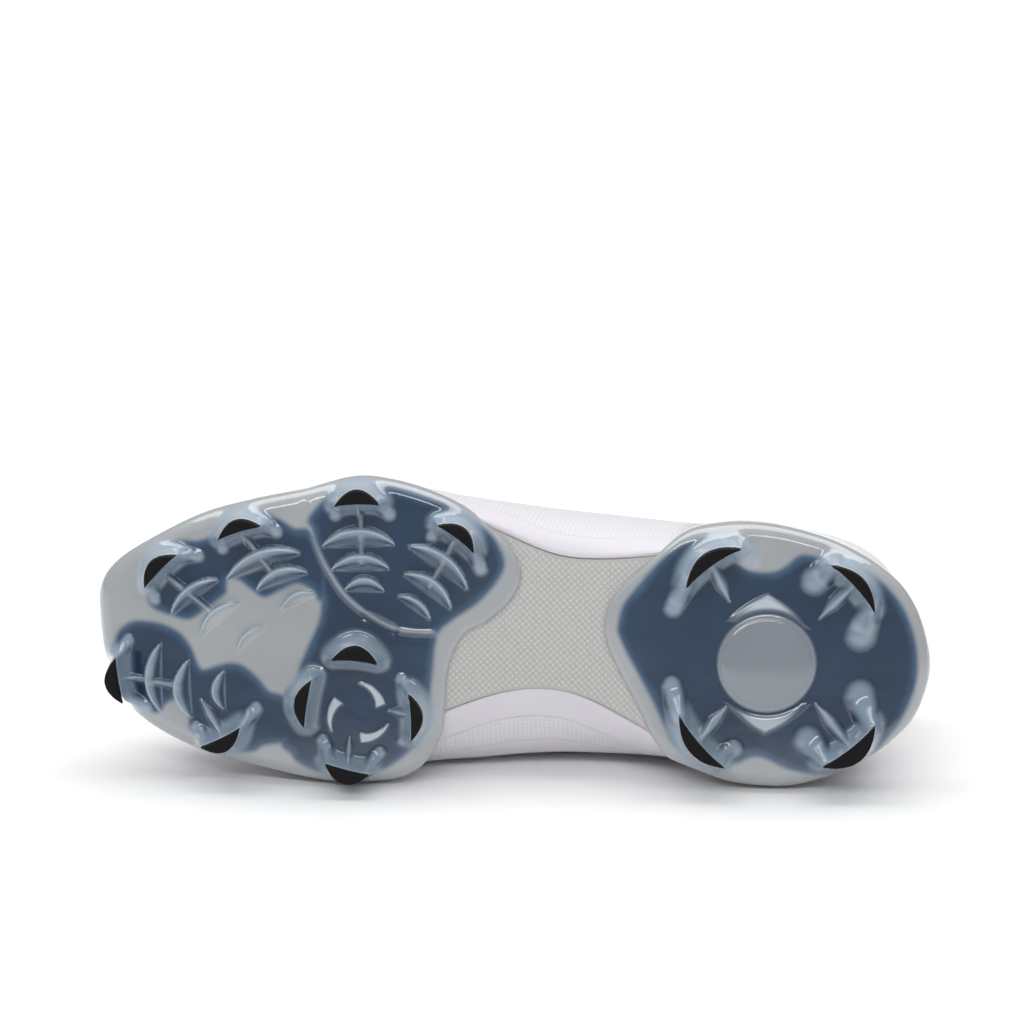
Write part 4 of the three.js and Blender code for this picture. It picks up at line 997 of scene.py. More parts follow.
@dataclass(frozen=True)
class Relief:
    """Raised forms on the under side of a plate, with the values that colour them, painted highlight among
    them, in millimetres.
    """

    sizes: Sizes
    sole: SoleForm
    plate: PlateSizes
    # Skirt of a stud: flat edge, width, and how fast it falls
    stud_skirt: tuple[float, float, float] = (0.25, 4.6, 2.7)
    # Pale of a stud's body, partly its clear moulding and partly painted highlight: strength, and the
    # distances over which it fades
    stud_veil_and_highlight: tuple[float, float, float] = (0.88, 5.6, 1.8)
    # Painted highlight on a stud's outward wall: strength, and the distances over which it fades
    stud_highlight: tuple[float, float, float] = (0.35, 2.6, 1.2)
    # Where a lobe starts, outwards and in from the corner, and the fullness of its section
    lobe: tuple[float, float, float] = (0.9, 1.5, 1.4)
    # Where a fin starts, outwards, and the fullness of its section
    fin: tuple[float, float] = (0.4, 1.1)
    # Outer and least inner share of a rib's width, and the flat share at its foot
    rib: tuple[float, float, float] = (0.26, 0.5, 0.18)
    stud_reach: tuple[float, float] = (18.0, 22.0)
    # Pale of the lobes and fins, partly their clear moulding and partly painted highlight
    lobe_veil_and_highlight: float = 0.8
    fin_veil_and_highlight: float = 0.85
    # Rib paint: painted highlight at the crest and outer side, the slope left blue as painted shade, and a
    # painted highlight line along the foot
    rib_painted_light: tuple[float, float] = (0.92, 0.5)
    # Painted highlight along the top of a rib
    rib_crest_highlight: float = 0.45
    # Half width and height of a bar, and how pale it is painted, partly for its clear moulding and partly as
    # highlight
    bar: tuple[float, float, float] = (1.3, 2.3, 0.55)
    # Half width and depth of the groove, with the shares of its length over which it ends
    groove: tuple[float, float] = (1.3, 0.4)
    groove_ends: tuple[float, float] = (0.05, 0.96)
    # Distance of the lip from the groove, its half width and the strength of its painted highlight
    lip: tuple[float, float, float] = (2.3, 0.7, 0.5)
    lip_hub: tuple[float, float] = (172.0, 32.0)
    # Half width and depth of the slot, and its flat middle
    slot: tuple[float, float, float] = (2.2, 0.6, 0.2)
    wedge_height: float = 0.5
    # Painted highlight over the wedges
    wedge_highlight: float = 0.95
    wedge_points: tuple[float, ...] = (92.0, 217.0, 346.0)
    wedge_turn: float = 68.0
    wedge_radii: tuple[float, float] = (10.4, 7.9)
    wedge_halves: tuple[float, float] = (0.25, 1.75)
    dome_height: float = 1.7
    # Share of the disc's radius, half width and depth of the ring cut in it
    ring: tuple[float, float, float] = (0.93, 0.35, 0.25)
    # Half width and strength of the painted highlight along the disc's edge
    disc_edge_highlight: tuple[float, float] = (0.4, 0.25)
    facet_height: float = 1.5
    facet_radius: float = 17.2
    facet_sag: float = 4.0
    # Painted highlight near a facet's outer corner
    facet_highlight: float = 0.85

    @property
    def studs(self) -> list[Crescent]:
        """Studs of this plate."""
        return [stud for stud in STUDS if stud.plate is self.plate.plate]

    def stud_outline(self, stud: Crescent, grow: float, steps: int = 40) -> Array:
        """Closed plan outline of a stud.

        Args:
            stud: The stud.
            grow: Distance by which the outline is moved out.
            steps: Points on the outer side.

        Returns:
            Points in the stud's own outward and across coordinates.
        """
        half, bow = stud.chord / 2 + grow, stud.bulge + grow
        hollow = min(self.plate.hollow, bow * 0.4) - grow
        bend = np.linspace(-1, 1, steps)
        outer = np.stack([bow * (1 - bend**2), bend * half], axis=1)
        back = np.linspace(1, -1, steps)[1:-1]
        inner = np.stack([hollow * (1 - back**2), back * half], axis=1)
        return np.vstack([outer, inner])

    @staticmethod
    def ridge(plan: Array, start: Array, run: Array, radii: tuple, heights: tuple, power: float,
              leaf: bool = False) -> tuple[Array, Array]:
        """Rounded ridge over plan points.

        Args:
            plan: Plan points.
            start: High end of the ridge.
            run: Vector to its low end.
            radii: Half widths at the start and the end.
            heights: Heights at the start and the end.
            power: Fullness of the section, lower for a flatter top.
            leaf: True for a ridge that narrows to a point at its low end.

        Returns:
            The height of the ridge and its share of full height.
        """
        rel = plan - start
        share = np.clip(rel @ run / (run @ run), 0, 1)
        far = np.linalg.norm(rel - share[:, None] * run, axis=1)
        radius = lerp(radii[0], radii[1], share)
        if leaf:
            radius = radius * (1 - 0.85 * smooth(0.5, 1.0, share))
        cover = np.clip(1 - (far / radius) ** 2, 0, 1) ** power
        return lerp(heights[0], heights[1], smooth(0, 1, share)) * cover, cover

    def height(self, plan: Array) -> dict[str, Array]:
        """Height of the relief below the plate, and its colour values.

        Args:
            plan: Plan points.

        Returns:
            "height" in millimetres, and from 0 to 1 the pale of the raised forms with painted light, the
            painted highlight and the frost.
        """
        layers = Layers(plan)
        for stud in self.studs:
            self.add_stud(layers, stud)
        for rib in RIBS:
            if rib.plate is self.plate.plate:
                self.add_rib(layers, rib)
        if self.plate.plate is Plate.FORE:
            self.add_bars(layers)
            self.add_groove(layers)
            self.add_wedges(layers)
        else:
            self.add_disc(layers)
            for facet in DISC_FACETS:
                self.add_facet(layers, np.array(facet))
        return layers.result()

    def add_stud(self, layers: Layers, stud: Crescent) -> None:
        """Adds a stud body with the lobes at its corners and the fin at its back, painted pale partly for the
        clear moulding and partly as highlight.

        Args:
            layers: Where it is added.
            stud: The stud.
        """
        sizes, plate, half = self.sizes, self.plate, stud.chord / 2
        out, across = stud.local(layers.plan, sizes)
        reach = (np.abs(across) < half + self.stud_reach[0]) & (np.abs(out) < self.stud_reach[1])
        near = np.nonzero(reach)[0]
        out, across, plan = out[near], across[near], layers.plan[near]
        far = polygon_distance(np.stack([out, across], axis=1), self.stud_outline(stud, 0))
        lift = stud.lift(sizes, self.sole)
        full = self.sole.bottom(plan[:, 0], plan[:, 1]) - (sizes.tip_height + sizes.gap + lift)
        flat, width, power = self.stud_skirt
        layers.join(full * np.clip(1 - (far - flat) / width, 0, 1) ** power, near)
        layers.cap[near] = np.where(far < 4, np.minimum(layers.cap[near], full), layers.cap[near])
        # The body is painted pale, partly for its clear moulding and partly as highlight
        strength, *fade = self.stud_veil_and_highlight
        layers.paint("veil_and_painted_light", strength * smooth(*fade, far), near)
        # Painted highlight on the outward wall of the stud
        strength, *fade = self.stud_highlight
        layers.paint("painted_highlight", strength * smooth(*fade, far) * smooth(-1.0, 2.5, out), near)
        low, low_radius, high, high_radius, fin, fin_radius = STUD_LEGS[stud.name]
        for side, run, radius in ((-1, low, low_radius), (1, high, high_radius)):
            start = stud.to_plan(np.array([self.lobe[0]]), np.array([side * (half - self.lobe[1])]), sizes)[0]
            lobe, cover = self.ridge(plan, start, np.array(run),
                                     (plate.leg_radius * 1.2, radius * plate.foot_flare),
                                     plate.leg_heights, self.lobe[2])
            layers.join(lobe, near)
            # The lobe is painted pale, partly for its clear moulding and partly as highlight
            layers.paint("veil_and_painted_light", self.lobe_veil_and_highlight * smooth(0.0, 0.9, cover) ** 0.8, near)
        if fin is not None:
            start = stud.to_plan(np.array([self.fin[0]]), np.zeros(1), sizes)[0]
            blade, cover = self.ridge(plan, start, np.array(fin), (fin_radius * 0.7, fin_radius),
                                      plate.fin_heights, self.fin[1], leaf=True)
            layers.join(blade, near)
            # The fin is painted pale, partly for its clear moulding and partly as highlight
            layers.paint("veil_and_painted_light", self.fin_veil_and_highlight * cover**0.8, near)

    def add_rib(self, layers: Layers, rib: Crescent) -> None:
        """Adds a rib, steep at its outer side and falling in a long slope at its inner side, with painted
        highlight at its crest and foot and painted shade on the slope.

        Args:
            layers: Where it is added.
            rib: The rib.
        """
        out, across = rib.local(layers.plan, self.sizes)
        half = rib.chord / 2
        near = np.nonzero((np.abs(across) < half + 1) & (np.abs(out) < 12))[0]
        s = np.clip(across[near] / half, -1, 1)
        bow = rib.bulge * (1 - s**2)
        slope = np.sqrt(1 + (2 * rib.bulge * s / half) ** 2)
        q = (out[near] - bow) / slope
        full = (1 - s**2) ** 0.5
        outer = rib.width * self.rib[0] * full
        inner = np.maximum(bow / slope + 0.5 * full, rib.width * self.rib[1] * full)
        fall = np.clip(1 + q / np.maximum(inner, 1e-3), 0, 1)
        cover = np.where(q > 0, np.clip(1 - (q / np.maximum(outer, 1e-3)) ** 2, 0, 1) ** 0.8,
                         self.rib[2] * np.minimum(fall * 6, 1) + (1 - self.rib[2]) * fall**1.9)
        cover = cover * (full > 0.02)
        layers.join(rib.height * full * cover, near)
        # Painted light: pale highlight at the crest and outer side, the slope left blue as shade, and a
        # highlight line along the foot
        pale = np.where(q > 0, smooth(0, 0.5, cover), smooth(0.42, 0.86, fall))
        foot = self.rib_painted_light[1] * np.exp(-(((fall - 0.1) / 0.08) ** 2)) * smooth(0, 0.06, fall) * (q <= 0)
        layers.paint("veil_and_painted_light", (self.rib_painted_light[0] * pale + foot) * smooth(0, 0.3, full), near)
        # Painted highlight along the top of the crest
        layers.paint("painted_highlight", self.rib_crest_highlight * smooth(0.88, 1.0, cover) * smooth(0, 0.4, full), near)

    def add_bars(self, layers: Layers) -> None:
        """Adds the bars that join studs to ribs.

        Args:
            layers: Where they are added.
        """
        half, height, veil_and_painted_light = self.bar
        for ends in BARS:
            far, _ = line_place(layers.plan, np.array(ends) * [self.sizes.sole_length, self.sizes.ball_width])
            cover = np.clip(1 - (far / half) ** 2, 0, 1)
            layers.join(height * cover**0.8, layers.all)
            # Painted pale, partly for the clear moulding and partly as highlight
            layers.paint("veil_and_painted_light", veil_and_painted_light * cover, layers.all)

    def add_groove(self, layers: Layers) -> None:
        """Sinks the flex groove with the slot in it, and raises its inner lip with a painted highlight along
        it.

        Args:
            layers: Where it is added.
        """
        line = curve_at(np.array(FLEX_GROOVE), np.linspace(0, len(FLEX_GROOVE) - 1, 60), False)
        far, share = line_place(layers.plan, line)
        half, depth = self.groove
        ends = smooth(0, self.groove_ends[0], share) * smooth(1, self.groove_ends[1], share)
        layers.extra -= depth * np.exp(-((far / half) ** 2)) * ends
        hub = np.array(self.lip_hub)
        limit = np.interp(share, np.linspace(0, 1, len(line)), np.linalg.norm(line - hub, axis=1))
        inner = smooth(0.6, -0.6, np.linalg.norm(layers.plan - hub, axis=1) - limit)
        lip = np.exp(-(((far - self.lip[0]) / self.lip[1]) ** 2)) * ends * inner
        layers.extra += depth * lip
        # Painted highlight along the lip
        layers.paint("painted_highlight", self.lip[2] * lip * smooth(0.05, 0.4, share), layers.all)
        far, _ = line_place(layers.plan, np.array(GROOVE_SLOT))
        layers.extra -= self.slot[1] * smooth(self.slot[0], self.slot[2], far)

    def add_wedges(self, layers: Layers) -> None:
        """Raises the curved wedges round the middle of the pivot and paints them pale as highlight.

        Args:
            layers: Where they are added.
        """
        rel = layers.plan - np.array(PIVOT_CENTRE)
        radius = np.hypot(rel[:, 0], rel[:, 1])
        angle = np.degrees(np.arctan2(rel[:, 1], -rel[:, 0])) % 360
        for point in self.wedge_points:
            run = (point - angle) % 360
            share = np.clip(run / self.wedge_turn, 0, 1)
            half = lerp(*self.wedge_halves, share)
            aside = half - np.abs(radius - lerp(*self.wedge_radii, share))
            wedge = smooth(-0.15, 0.35, np.minimum(aside, np.minimum(run, self.wedge_turn - run) * 0.15))
            layers.extra += self.wedge_height * wedge
            # The wedge is painted pale as highlight
            layers.paint("painted_highlight", self.wedge_highlight * wedge, layers.all)

    def add_disc(self, layers: Layers) -> None:
        """Raises the frosted disc at the heel, with a fine ring cut round it and a painted highlight along
        its edge.

        Args:
            layers: Where it is added.
        """
        rel = layers.plan - np.array(HEEL_DISC)
        radius = np.hypot(rel[:, 0], rel[:, 1])
        dome = np.clip(1 - (radius / HEEL_DISC_RADIUS) ** 2, 0, 1)
        share, half, depth = self.ring
        layers.extra += self.dome_height * dome**0.6
        layers.extra -= depth * np.exp(-(((radius - HEEL_DISC_RADIUS * share) / half) ** 2))
        # Painted highlight along the edge of the disc
        half, pale = self.disc_edge_highlight
        layers.paint("painted_highlight", pale * np.exp(-(((radius - HEEL_DISC_RADIUS) / half) ** 2)), layers.all)
        layers.paint("frost", smooth(HEEL_DISC_RADIUS + 0.2, HEEL_DISC_RADIUS - 0.5, radius), layers.all)

    def add_facet(self, layers: Layers, corner: Array) -> None:
        """Raises a facet beside the disc, high at its outer corner, with a painted highlight near that
        corner.

        Args:
            layers: Where it is added.
            corner: Its three outer corners.
        """
        centre = np.array(HEEL_DISC)
        bend = np.linspace(0, 1, 9)[:, None]
        sides = []
        for start, end in ((corner[0], corner[1]), (corner[1], corner[2])):
            pull = unit(centre - (start + end) / 2)
            sides.append(lerp(start, end, bend) - pull * self.facet_sag * bend * (1 - bend))
        first, last = (math.atan2(*(corner[k] - centre)[::-1]) for k in (2, 0))
        if abs(last - first) > math.pi:
            first += math.copysign(2 * math.pi, last - first)
        turn = np.linspace(first, last, 16)[1:-1, None]
        arc = centre + self.facet_radius * np.hstack([np.cos(turn), np.sin(turn)])
        far = polygon_distance(layers.plan, np.vstack([sides[0], sides[1][1:], arc]))
        radius = np.linalg.norm(layers.plan - centre, axis=1)
        tip = np.linalg.norm(layers.plan - corner[1], axis=1)
        layers.extra += self.facet_height * smooth(0.3, -1.6, far) * lerp(0.35, 1, smooth(17, 23, radius))
        # Painted highlight near the outer corner
        facet_glint = smooth(0.3, -1.5, far) * smooth(17, 5, tip) * smooth(16.8, 19.0, radius)
        layers.paint("painted_highlight", self.facet_highlight * facet_glint, layers.all)


@dataclass
class OutsolePlate:
    """One moulded plate: rolled rim, flange up the side of the upper, and the relief under it."""

    sizes: Sizes
    sole: SoleForm
    plate: PlateSizes
    upper_tree: BVHTree
    roll_degrees: tuple[float, ...] = (10, 24, 40, 58, 76)
    contour_grows: tuple[float, ...] = (0.0, 0.2, 0.45, 0.75, 1.1, 1.6, 2.2)
    pool_range: tuple[float, float] = (-8.0, 12.0)
    contour_steps: int = 56
    # Distance from a stud's outline within which its contours stand for the grid
    grid_gap: tuple[float, float] = (0.2, 1.8)
    wall_shares: tuple[float, ...] = (0.35, 0.7, 1.0)
    floor_shares: tuple[float, ...] = (0.35, 0.7, 0.93)
    lip_drop: float = 0.18
    lip_inset: float = 0.12
    lip_width: float = 0.5
    lip_reach: float = 14.0
    least_rim: float = 0.15
    spine_fore: tuple[float, float, float, float] = (168.0, 232.0, -5.0, -3.0)
    spine_heel: tuple[float, float, float, float] = (40.0, 72.0, -1.0, -1.0)

    def __post_init__(self) -> None:
        """Works out the outline, its inward normals, and the roll radius along it."""
        plate = self.plate
        self.relief = Relief(self.sizes, self.sole, plate)
        table = np.array(plate.outline) * [self.sizes.sole_length, plate.width, 1]
        s = np.arange(plate.rim_steps) * len(table) / plate.rim_steps
        rows = curve_at(table, s, True)
        run = curve_at(table, s + 0.05, True)[:, :2] - curve_at(table, s - 0.05, True)[:, :2]
        run = unit(run)
        inward = np.stack([-run[:, 1], run[:, 0]], axis=1)
        area = np.sum(rows[:, 0] * np.roll(rows[:, 1], -1) - np.roll(rows[:, 0], -1) * rows[:, 1])
        self.edge = rows[:, :2]
        self.inward = inward if area > 0 else -inward
        self.rim = np.clip(rows[:, 2], 0, 1)
        self.radius = lerp(plate.waist_radius, plate.roll_radius, self.rim)

    def ring(self, depth: Array, rise: Array) -> Array:
        """One ring of points along the outline.

        Args:
            depth: Depth inside the outline.
            rise: Height over the plate's under side.

        Returns:
            The points.
        """
        plan = self.edge + self.inward * np.asarray(depth)[:, None]
        z = self.sole.bottom(plan[:, 0], plan[:, 1]) + rise
        return np.column_stack([plan, z])

    def rim_depth(self, plan: Array) -> tuple[Array, Array]:
        """Place of plan points inside the outline.

        Args:
            plan: Plan points.

        Returns:
            Their depth inside the outline, and the roll radius at its nearest place.
        """
        depth, radius = np.empty(len(plan)), np.empty(len(plan))
        batch = 4000
        for k in range(0, len(plan), batch):
            part = plan[k:k + batch]
            gap = ((part[:, None, :] - self.edge[None]) ** 2).sum(axis=2)
            best = gap.argmin(axis=1)
            depth[k:k + batch] = np.sqrt(gap[np.arange(len(part)), best])
            radius[k:k + batch] = self.radius[best]
        return depth, radius

    def pool_depth(self, plan: Array) -> Array:
        """Depth inside the blue layer.

        Args:
            plan: Plan points.

        Returns:
            The depths, negative outside the layer.
        """
        pools = (TOE_LATERAL_POOL, BALL_POOL, TOE_MEDIAL_POOL)
        if self.plate.plate is Plate.HEEL:
            pools = (HEEL_POOL,)
        return np.max([-polygon_distance(plan, closed_curve(pool)) for pool in pools], axis=0)

    def plan_points(self) -> Array:
        """Points over the plate: roll arcs first, then stud contours, then an even grid."""
        loops = [self.edge + self.inward * (self.radius * (1 - math.cos(math.radians(degrees))))[:, None]
                 for degrees in self.roll_degrees]
        contours = []
        for stud in self.relief.studs:
            for grow in self.contour_grows:
                outline = self.relief.stud_outline(stud, grow, self.contour_steps)
                contours.append(stud.to_plan(outline[:, 0], outline[:, 1], self.sizes))
        near = np.vstack(contours)
        depth, radius = self.rim_depth(near)
        inside = polygon_distance(near, self.edge[::4]) < 0
        near = near[inside & (depth > radius * 0.4)]
        low, high = self.edge.min(axis=0), self.edge.max(axis=0)
        step = self.plate.grid
        row_step = step * 0.866
        gx, gy = np.meshgrid(np.arange(low[0], high[0], step), np.arange(low[1], high[1], row_step))
        gx = gx + (np.arange(gx.shape[0]) % 2)[:, None] * step / 2
        grid = np.column_stack([gx.ravel(), gy.ravel()])
        grid = grid[polygon_distance(grid, self.edge[::4]) < 0]
        depth, radius = self.rim_depth(grid)
        grid = grid[depth > radius * 0.76 + 0.15]
        for stud in self.relief.studs:
            out, across = stud.local(grid, self.sizes)
            close = (np.abs(out) < 12) & (np.abs(across) < 18)
            far = np.full(len(grid), 99.0)
            far[close] = polygon_distance(np.column_stack([out, across])[close],
                                          self.relief.stud_outline(stud, 0))
            grid = grid[(far < -self.grid_gap[0]) | (far > self.grid_gap[1])]
        return np.vstack(loops + [near, grid])

    def build(self, maker: Maker, name: str, material: bpy.types.Material) -> bpy.types.Object:
        """Makes the plate as one closed mesh.

        Args:
            maker: Mesh maker.
            name: Name of the node that it stands for.
            material: Its material.

        Returns:
            The object.
        """
        plan = self.plan_points()
        steps = self.plate.rim_steps
        ring = np.arange(steps)
        edges = np.column_stack([ring, (ring + 1) % steps]).tolist()
        verts = [Vector(p) for p in plan.tolist()]
        out = delaunay_2d_cdt(verts, edges, [], 1, 1e-5, True)
        spots, tris, origins = np.array([tuple(v) for v in out[0]]), out[2], out[3]
        depth, radius = self.rim_depth(spots)
        arc = radius - np.sqrt(np.maximum(radius**2 - (radius - depth) ** 2, 0))
        roll = np.where(depth < radius, arc, 0)
        values = self.relief.height(spots)
        base = self.sole.bottom(spots[:, 0], spots[:, 1])
        fade = smooth(0.3, 1.6, depth)
        z = base + roll - values["height"] * np.where(depth < radius, fade, 1)
        surface = np.column_stack([spots, z])
        first = {}
        for new, old in enumerate(origins):
            for k in old:
                first.setdefault(k, new)
        rim_index = np.array([first[k] for k in range(steps)])
        middles = spots[np.array(tris)].mean(axis=1)
        kept = polygon_distance(middles, self.edge[::2]) < 0.02
        faces = [list(t) for t, keep in zip(tris, kept) if keep]
        side = self.side_rings()
        previous = rim_index
        for k in range(len(side)):
            index = len(surface) + k * steps + ring
            faces += np.column_stack([previous, np.roll(previous, -1), np.roll(index, -1), index]).tolist()
            previous = index
        points = np.vstack([surface, *side])
        extra = len(points) - len(surface)
        colours = {key: np.concatenate([values[key], np.zeros(extra)]) for key in ("veil_and_painted_light", "painted_highlight", "frost")}
        pool = np.clip(self.pool_depth(surface[:, :2]), *self.pool_range)
        colours["blue_mm"] = np.concatenate([pool, np.full(extra, self.pool_range[0])])
        made = maker.mesh(name + "_moulding", points, faces, [material], values=colours)
        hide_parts(name)
        return made

    def side_rings(self) -> list[Array]:
        """Rings from the roll up the side, over the lip and back under the upper."""
        plate = self.plate
        top = lerp(self.sizes.plate_thickness, plate.flange_rise, self.rim)
        zero = np.zeros(len(top))
        rings = [self.ring(zero, self.radius)]
        rings += [self.ring(zero, lerp(self.radius, top - 0.55, f)) for f in self.wall_shares]
        rings.append(self.ring(zero + self.lip_inset, top - self.lip_drop))
        rings.append(self.ring(zero + self.lip_width, top))
        flange = lerp(0.9, plate.flange_thickness, self.rim) + 0.6
        reach = self.reach_upper(top, flange)
        rings.append(self.ring(lerp(self.lip_width, reach, 0.5), top + 0.05 * self.rim))
        rings.append(self.ring(reach, top))
        floor = self.sizes.plate_thickness
        rings.append(self.ring(np.maximum(reach, flange), zero + floor))
        for share in self.floor_shares:
            plan = lerp(self.ring(np.maximum(reach, flange), zero)[:, :2], self.spine(), share)
            rings.append(np.column_stack([plan, self.sole.bottom(plan[:, 0], plan[:, 1]) + floor]))
        return rings

    def spine(self) -> Array:
        """Middle line to which the floor rings shrink."""
        spine = self.spine_heel if self.plate.plate is Plate.HEEL else self.spine_fore
        back, front, y_back, y_front = spine
        x = np.clip(self.edge[:, 0], back, front)
        return np.column_stack([x, lerp(y_back, y_front, (x - back) / (front - back))])

    def reach_upper(self, top: Array, fallback: Array) -> Array:
        """Depth at which the lip of the flange meets the face of the upper.

        Args:
            top: Height of the lip along the outline.
            fallback: Depth where the upper isn't met.

        Returns:
            The depth along the outline, evened out.
        """
        reach = fallback.copy()
        ahead = 2.0
        start = self.ring(np.full(len(top), -ahead), top)
        for k, (p, inward) in enumerate(zip(start, self.inward)):
            if self.rim[k] < self.least_rim:
                continue
            hit = self.upper_tree.ray_cast(Vector(p), Vector((*inward, 0)), self.lip_reach)
            if hit[0] is not None:
                reach[k] = max(0.9, hit[3] - ahead + 0.5)
        for _ in range(3):
            reach = (np.roll(reach, 1) + 2 * reach + np.roll(reach, -1)) / 4
        return reach


@dataclass(frozen=True)
class StudTips:
    """Black stud ends, one piece each."""

    sizes: Sizes
    sole: SoleForm
    reliefs: dict[Plate, Relief]
    # How far the root of an end reaches into the plate, and how far its outline grows there
    root: tuple[float, float] = (0.05, 0.24)
    outline_steps: int = 36
    # Height over the end and growth of the outline, down to the rounded edge
    levels: tuple = ((2.2, 0.14), (0.9, 0.06), (0.4, 0.0), (0.16, -0.1), (0.04, -0.28), (0.0, -0.5))
    sharp_degrees: float = 25.0

    def build(self, maker: Maker, material: bpy.types.Material) -> list[bpy.types.Object]:
        """Makes every stud end and lets it stand for its node.

        Args:
            maker: Mesh maker.
            material: Material of the ends.

        Returns:
            The objects.
        """
        made = []
        root = (self.sizes.tip_height + self.sizes.gap + self.root[0], self.root[1])
        for stud in STUDS:
            lift = stud.lift(self.sizes, self.sole)
            rings = []
            for z, grow in (root, *self.levels):
                outline = self.reliefs[stud.plate].stud_outline(stud, grow, self.outline_steps)
                plan = stud.to_plan(outline[:, 0], outline[:, 1], self.sizes)
                rings.append(np.column_stack([plan, np.full(len(plan), z + lift)]))
            points, faces = self.capped(rings)
            tip = maker.mesh("stud_end_" + stud.name, points, faces, [material])
            tip.data.set_sharp_from_angle(angle=math.radians(self.sharp_degrees))
            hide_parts("stud_tip_" + stud.name)
            made.append(tip)
        return made

    @staticmethod
    def capped(rings: list[Array]) -> tuple[Array, list]:
        """Closes a stack of rings with strips across the narrow way of the outline.

        Args:
            rings: Rings of points from the root to the end.

        Returns:
            Points and faces.
        """
        count = len(rings[0])
        points = np.vstack(rings)
        faces = grid_quads(len(rings), count, close_columns=True).tolist()
        half = count // 2
        for base, flip in ((0, False), ((len(rings) - 1) * count, True)):
            for k in range(half - 1):
                a, b = base + k, base + k + 1
                c, d = base + (count - 2 - k) % count, base + (count - 1 - k) % count
                face = [a, b, c] if c == d or a == d else [a, b, c, d]
                face = list(dict.fromkeys(face))
                if len(face) > 2:
                    faces.append(face[::-1] if flip else face)
        return points, faces


# ---- Midsole

@dataclass(frozen=True)
class Midsole:
    """Foam midsole; its under side shows between the plates as a panel of raised dots, in millimetres."""

    sizes: Sizes
    sole: SoleForm
    upper: UpperForm
    dot_pitch: float = 1.55
    dot_height: float = 0.3
    lap: float = 0.7
    thickness: float = 3.2
    end_gap: float = 0.3
    fine_from: float = 84.0
    fine_to: float = 176.0
    fine_step: float = 0.34
    end_steps: tuple[int, int] = (26, 30)
    across_steps: int = 138

    def stations(self, low: float, high: float) -> Array:
        """Places along the shoe, close together where the dots are and wider towards the ends.

        Args:
            low: Back end.
            high: Front end.

        Returns:
            The places.
        """
        back, front = (np.sin(np.linspace(0, 1, count) * math.pi / 2) for count in self.end_steps)
        return np.concatenate([
            low + (self.fine_from - low) * back[:-1],
            np.arange(self.fine_from, self.fine_to, self.fine_step),
            self.fine_to + (high - self.fine_to) * front])

    def build(self, maker: Maker, material: bpy.types.Material) -> bpy.types.Object:
        """Makes the midsole as one closed slab.

        Args:
            maker: Mesh maker.
            material: Its material.

        Returns:
            The object.
        """
        t = np.linspace(0, self.upper.count, 721)
        foot = self.upper.at(t, np.zeros_like(t), self.sizes.wall - self.lap)
        tip = int(foot[:, 0].argmax())
        medial, lateral = foot[:tip + 1], foot[tip:]
        x = self.stations(max(medial[:, 0].min(), lateral[:, 0].min()) + self.end_gap,
                          foot[:, 0].max() - self.end_gap)
        y_medial = np.interp(x, np.maximum.accumulate(medial[:, 0]), medial[:, 1])[:, None]
        y_lateral = np.interp(x, np.maximum.accumulate(lateral[::-1, 0]), lateral[::-1, 1])[:, None]
        gx = np.repeat(x[:, None], self.across_steps, axis=1)
        gy = lerp(y_medial, y_lateral, np.linspace(0, 1, self.across_steps)[None])
        turn = 2 * math.pi / (self.dot_pitch * math.sqrt(2))
        shown = smooth(self.fine_from - 2, self.fine_from + 2, gx)
        shown = shown * smooth(self.fine_to + 2, self.fine_to - 2, gx)
        rim = np.minimum(gy - y_medial, y_lateral - gy)
        dot = np.clip(np.cos(gx * turn) * np.cos(gy * turn), 0, 1) ** 0.8 * shown * smooth(0.4, 1.4, rim)
        base = self.sole.midsole_bottom(gx, gy)
        rows, columns = gx.shape
        under = np.stack([gx, gy, base - self.dot_height * dot], axis=-1).reshape(-1, 3)
        over = np.stack([gx, gy, base + self.thickness], axis=-1).reshape(-1, 3)
        quads = grid_quads(rows, columns)
        border = np.concatenate([
            np.arange(columns), np.arange(1, rows) * columns + columns - 1,
            (rows - 1) * columns + np.arange(columns - 2, -1, -1), np.arange(rows - 2, 0, -1) * columns])
        after = np.roll(border, -1)
        side = np.column_stack([border, after, after + len(under), border + len(under)])
        made = maker.mesh("midsole_foam", np.vstack([under, over]),
                          np.vstack([quads, quads[:, ::-1] + len(under), side]), [material],
                          values={"dot": np.concatenate([dot.ravel(), np.zeros(len(over))])})
        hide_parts("midsole")
        return made


# ---- Upper

